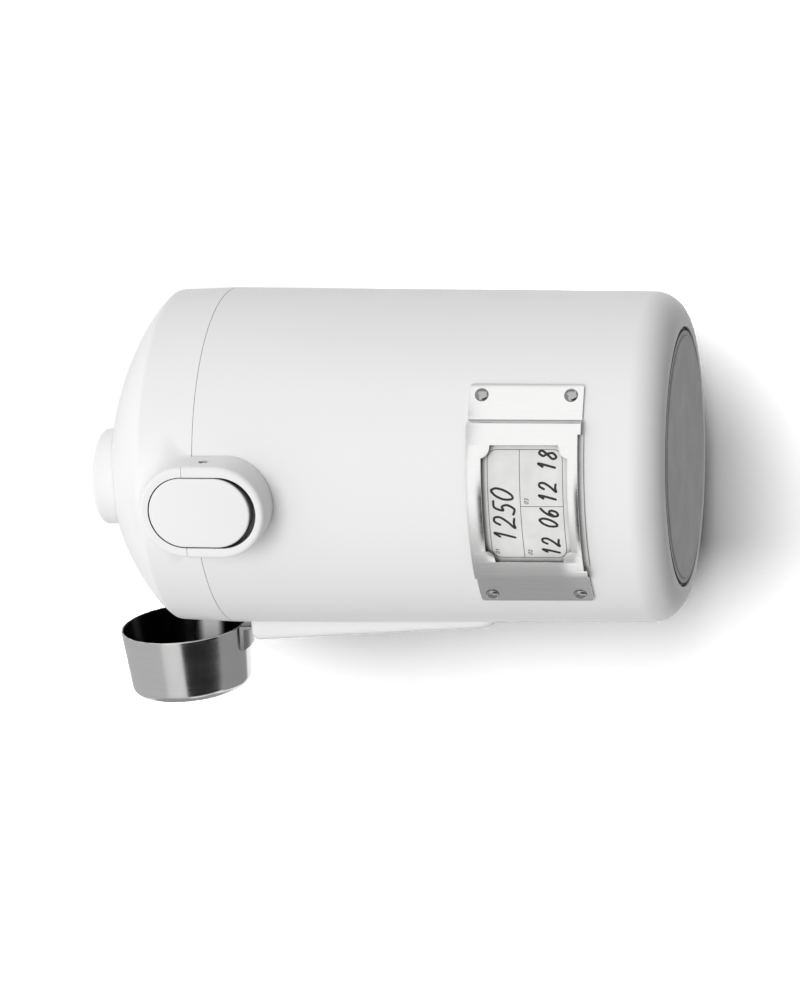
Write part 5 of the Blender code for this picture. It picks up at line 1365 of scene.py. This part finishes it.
def holder_section(height, soft):
    """The holder's level outline: a flat outer face with round edges, and sides into the shell."""
    face, half = holder_face(height), HOLDER_HALF
    if height < HOLDER_FOOT:
        rise = math.sin(math.pi / 2 * (height - HOLDER_LOW) / (HOLDER_FOOT - HOLDER_LOW))
        base = shell_radius(HOLDER_LOW) - SEAT
        face = base + (holder_face(HOLDER_FOOT) - base) * rise
        half -= HOLDER_FOOT_PINCH * (1 - rise) ** 2
    over = height - (HOLDER_HIGH - HOLDER_CROWN)
    if over > 0:
        face -= HOLDER_CROWN - math.sqrt(max(HOLDER_CROWN ** 2 - over ** 2, 0))
    over = height - (HOLDER_HIGH - soft)
    if over > 0:
        half -= soft - math.sqrt(max(soft ** 2 - over ** 2, 0))
    root = shell_radius(HOLDER_LOW) - HOLDER_ROOT_DEPTH
    side = min(soft, face - root - HOLDER_SIDE)
    points = [(-root, half)]
    points += arc((-face + side, half - side), side, 90, 180, 10)
    points += [(-face, half * share) for share in (0.6, 0.3, 0, -0.3, -0.6)]
    points += arc((-face + side, side - half), side, 180, 270, 10)
    points += [(-root, -half)]
    return [Vector((x, y, height)) for x, y in points]


class CANISTER_OT_holder(bpy.types.Operator):
    """Loft the scoop holder on the shell's side and cut its slot"""
    bl_idname = "canister.holder"
    bl_label = "Scoop holder"

    def execute(self, context):
        soft = sizes().holder_round
        crown = HOLDER_HIGH - HOLDER_CROWN
        heights = [HOLDER_LOW + (HOLDER_FOOT - HOLDER_LOW) * i / 14 for i in range(14)]
        heights += [HOLDER_FOOT + (crown - HOLDER_FOOT) * i / 20 for i in range(20)]
        heights += [crown + HOLDER_CROWN * math.sin(math.radians(90 * i / 12)) for i in range(13)]
        holder = lofted("holder_pocket", [holder_section(height, soft) for height in heights])
        half = HANDLE_HALF + SLOT_GAP
        slot = block("handle_slot", (-HANDLE_THICKNESS - SLOT_GAP, -half, -CUP_RADIUS - HANDLE_LENGTH),
                     (SLOT_GAP, half, 0))
        slot.data.transform(scoop_place())
        cut(holder, wall_cone("holder_seat", SEAT), slot)
        settle(holder, "canister", "white_plastic", "scoop_holder")
        return {"FINISHED"}


def cup_solid(name, gap, steps, place):
    """A solid that stands off the cup's outside by a gap."""
    return turned(name, [(0, PAST), (CUP_RADIUS + gap, PAST), (CUP_RADIUS + gap, 0),
                         (CUP_FOOT_RADIUS + gap, -CUP_DEPTH), (0, -CUP_DEPTH)], steps, place)


class CANISTER_OT_scoop(bpy.types.Operator):
    """Spin the steel scoop's cup and shape its handle"""
    bl_idname = "canister.scoop"
    bl_label = "Scoop"

    def execute(self, context):
        mouth = scoop_place() @ Matrix.Rotation(math.radians(90), 4, "Y")
        cup = turned("scoop_bowl", rounded([
            (0, CUP_WALL - CUP_DEPTH, 0),
            (CUP_FOOT_RADIUS - CUP_WALL, CUP_WALL - CUP_DEPTH, CUP_INNER_ROUND),
            (CUP_RADIUS - CUP_WALL, 0, SOFT_EDGE), (CUP_RADIUS, 0, SOFT_EDGE),
            (CUP_FOOT_RADIUS, -CUP_DEPTH, CUP_ROUND), (0, -CUP_DEPTH, 0)], 10), 160, mouth)
        settle(cup, "scoop", "polished_steel", "scoop_cup", paint="cup")
        cup.data.materials.append(PAINTS["cup_inside"])
        back = mouth.inverted()
        for face in cup.data.polygons:
            seat = back @ face.center
            heading = back.to_3x3() @ face.normal
            inward = seat.x * heading.x + seat.y * heading.y < 0
            face.material_index = int(inward or heading.z > 0.9 and seat.z < -0.01)
        self.handle(mouth)
        return {"FINISHED"}

    def handle(self, mouth):
        """The strip that the holder takes, with a tab that is rounded to the cup."""
        thick = HANDLE_THICKNESS
        low, tab_low, tab_high = (-CUP_RADIUS - HANDLE_LENGTH, -CUP_RADIUS - TAB_GAP - thick,
                                  2 * thick - CUP_RADIUS)
        outline = rounded([(-thick, low, 0), (0, low, 0), (0, tab_high, 0), (-TAB_REACH, tab_high, 0),
                           (-TAB_REACH, tab_low, 0), (-thick, tab_low, 0)], 4, True)
        place = scoop_place() @ Matrix.Translation((0, HANDLE_HALF, 0)) @ FACING_FRONT
        handle = slab("scoop_handle_strip", outline, 2 * HANDLE_HALF, place)
        soften(handle, EDGE, 2, 50)
        clearance = cup_solid("cup_clearance", CUP_CLEAR, 96, mouth)
        side = HANDLE_HALF + WALL
        trim = block("tab_trim", (-TAB_REACH - PAST, -side, tab_low - WALL),
                     (-thick, side, tab_high + WALL))
        trim.data.transform(scoop_place())
        cut(trim, cup_solid("tab_round", TAB_GAP + thick, 160, mouth))
        cut(handle, clearance, trim)
        settle(handle, "scoop", "polished_steel", "scoop_handle", paint="handle")


# Stage

def emission(tree, strength):
    glow = tree.nodes.new("ShaderNodeEmission")
    glow.inputs["Strength"].default_value = strength
    return glow


def mixed(tree, share, one, other, out):
    """Goes over from one shader to another by a share, into the output."""
    mix = tree.nodes.new("ShaderNodeMixShader")
    tree.links.new(share, mix.inputs["Fac"])
    tree.links.new(one, mix.inputs[1])
    tree.links.new(other, mix.inputs[2])
    tree.links.new(mix.outputs["Shader"], out.inputs["Surface"])


def sky():
    """White where a ray from the camera, a gloss or a glass meets it, and soft grey light else."""
    world = bpy.data.worlds.new("studio")
    bpy.context.scene.world = world
    world.use_nodes = True
    tree = world.node_tree
    tree.nodes.clear()
    out = tree.nodes.new("ShaderNodeOutputWorld")
    path = tree.nodes.new("ShaderNodeLightPath")
    soft = tree.nodes.new("ShaderNodeBackground")
    white = tree.nodes.new("ShaderNodeBackground")
    white.inputs["Color"].default_value = (1, 1, 1, 1)
    strength = remapped(tree, along(tree, "Z", "Generated"), -1.0, 0.45, 0.24, 1.08, smooth=True)
    tree.links.new(strength, soft.inputs["Strength"])
    seen = math_step(tree, "MAXIMUM", path.outputs["Is Camera Ray"], path.outputs["Is Glossy Ray"])
    seen = math_step(tree, "MAXIMUM", seen, path.outputs["Is Transmission Ray"])
    mixed(tree, seen, soft.outputs["Background"], white.outputs["Background"], out)


def surface_paint():
    """White table that holds the shadow, seen by the camera from the object's side only."""
    paint, tree, out = empty_material("table_white")
    matte = tree.nodes.new("ShaderNodeBsdfDiffuse")
    matte.inputs["Color"].default_value = (0.06, 0.06, 0.06, 1)
    lit = tree.nodes.new("ShaderNodeAddShader")
    tree.links.new(matte.outputs[0], lit.inputs[0])
    tree.links.new(emission(tree, 0.01).outputs[0], lit.inputs[1])
    clear = tree.nodes.new("ShaderNodeBsdfTransparent")
    path = tree.nodes.new("ShaderNodeLightPath")
    side = tree.nodes.new("ShaderNodeNewGeometry")
    front = math_step(tree, "SUBTRACT", path.outputs["Is Camera Ray"], side.outputs["Backfacing"],
                      clamp=True)
    below = remapped(tree, along(tree, "Z"), *TABLE_BELOW, smooth=True)
    beside = remapped(tree, along(tree, "X"), *TABLE_BESIDE, smooth=True)
    shown = math_step(tree, "MULTIPLY", front, math_step(tree, "MAXIMUM", below, beside))
    mixed(tree, shown, clear.outputs[0], lit.outputs[0], out)
    return paint


def hidden_from(thing, *rays):
    """Keeps an object out of the named kinds of ray."""
    for ray in rays:
        setattr(thing, "visible_" + ray, False)


def reflector(name, tone, size, centre, facing, fade=None):
    """A flat card that only glossy surfaces see. A fade gives two places along Y, and the tone that
    it goes over to between them."""
    deselect()
    bpy.ops.mesh.primitive_plane_add(size=1, location=(0, 0, 0))
    card = bpy.context.object
    card.name = name
    turn = (Vector(facing) - Vector(centre)).to_track_quat("Z", "Y").to_matrix().to_4x4()
    card.data.transform(Matrix.Translation(centre) @ turn @ Matrix.Diagonal((*size, 1, 1)))
    paint, tree, out = empty_material(name + "_tone")
    glow = emission(tree, tone)
    tree.links.new(glow.outputs[0], out.inputs["Surface"])
    if fade is not None:
        start, end, other = fade
        strength = remapped(tree, along(tree, "Y"), start, end, tone, other)
        tree.links.new(strength, glow.inputs["Strength"])
    card.data.materials.append(paint)
    hidden_from(card, "camera", "diffuse", "shadow", "transmission", "volume_scatter")
    return card


def lamp(name, energy, size, place, facing):
    data = bpy.data.lights.new(name, "AREA")
    data.energy = energy
    data.shape = "DISK"
    data.size = size
    thing = bpy.data.objects.new(name, data)
    thing.location = place
    thing.rotation_euler = (Vector(facing) - Vector(place)).to_track_quat("-Z", "Y").to_euler()
    hidden_from(thing, "glossy")
    bpy.context.scene.collection.objects.link(thing)
    return thing


class CANISTER_OT_stage(bpy.types.Operator):
    """Set the camera, the white table, the soft lamps and the cards that the steel reflects"""
    bl_idname = "canister.stage"
    bl_label = "Studio"

    def execute(self, context):
        scene = context.scene
        scene.view_settings.view_transform = "Standard"
        lens = bpy.data.cameras.new("view")
        lens.lens = CAMERA_LENS
        lens.sensor_width = SENSOR_WIDTH
        camera = bpy.data.objects.new("view", lens)
        axes = (CAMERA_RIGHT, CAMERA_UP, CAMERA_RIGHT.cross(CAMERA_UP))
        camera.matrix_world = Matrix.Translation(CAMERA_PLACE) @ Matrix(axes).transposed().to_4x4()
        scene.collection.objects.link(camera)
        scene.camera = camera
        deselect()
        bpy.ops.mesh.primitive_plane_add(size=3, location=(0, 0, 0))
        table = context.object
        table.name = "white_table"
        table.data.transform(Matrix.Translation((0, TABLE_PLACE, 0)) @ FACING_FRONT)
        table.data.materials.append(surface_paint())
        hidden_from(table, "diffuse", "glossy", "transmission", "shadow")
        sky()
        lamp("soft_front", 43, 1.6, (0.7, -3.1, 0.9), MIDDLE)
        table_lamp = lamp("table_light", 2420, 2.8, (0.964, -1.6, 0.74), MIDDLE)
        lit = bpy.data.collections.new("lit_by_table_light")
        lit.objects.link(table)
        table_lamp.light_linking.receiver_collection = lit
        reflector("dark_card", 0.01, (1.38, 2.4), (-0.57, -1.31, -0.89), (-0.07, 0, 0.187))
        reflector("fold_card", 0.25, (0.09, 0.17), (0.145, -0.033, 0.068), (0.027, -0.054, 0.045),
                  (-0.02, -0.11, 1.0))
        reflector("lower_card", 0.3, (1.6, 1.3), (0, 0.35, -0.6), MIDDLE)
        reflector("grey_card", 0.32, (2.7, 0.7), (-0.75, -0.25, 0.43), (0, 0, 0.43), (-0.35, -1.25, 1.0))
        reflector("side_card", 0.36, (1.0, 0.54), (-0.868, 0.1, -0.18), (0.08, 0.418, -0.18))
        reflector("upper_card", 0.5, (1.6, 1.9), (0, -0.05, 0.75), MIDDLE)
        return {"FINISHED"}


class CANISTER_PT_sidebar(bpy.types.Panel):
    """Sizes, colours and pieces of the canister"""
    bl_label = "Airtight Canister"
    bl_space_type = "VIEW_3D"
    bl_region_type = "UI"
    bl_category = "Canister"

    def draw(self, context):
        for group in (context.scene.canister_finish, context.scene.canister_sizes):
            box = self.layout.box()
            for name in group.__annotations__:
                box.prop(group, name)
        for step in STEPS:
            self.layout.operator(step.bl_idname)


STEPS = (CANISTER_OT_materials, CANISTER_OT_shell, CANISTER_OT_vessel, CANISTER_OT_lid,
         CANISTER_OT_knob, CANISTER_OT_latch, CANISTER_OT_label_frame, CANISTER_OT_card,
         CANISTER_OT_holder, CANISTER_OT_scoop, CANISTER_OT_stage)
CLASSES = (CanisterFinish, CanisterSizes) + STEPS + (CANISTER_PT_sidebar,)


def register():
    for kind in CLASSES:
        bpy.utils.register_class(kind)
    bpy.types.Scene.canister_finish = bpy.props.PointerProperty(type=CanisterFinish)
    bpy.types.Scene.canister_sizes = bpy.props.PointerProperty(type=CanisterSizes)


def unregister():
    del bpy.types.Scene.canister_sizes
    del bpy.types.Scene.canister_finish
    for kind in reversed(CLASSES):
        bpy.utils.unregister_class(kind)


def main():
    register()
    for step in STEPS:
        group, name = step.bl_idname.split(".")
        getattr(getattr(bpy.ops, group), name)()


if __name__ == "__main__":
    main()
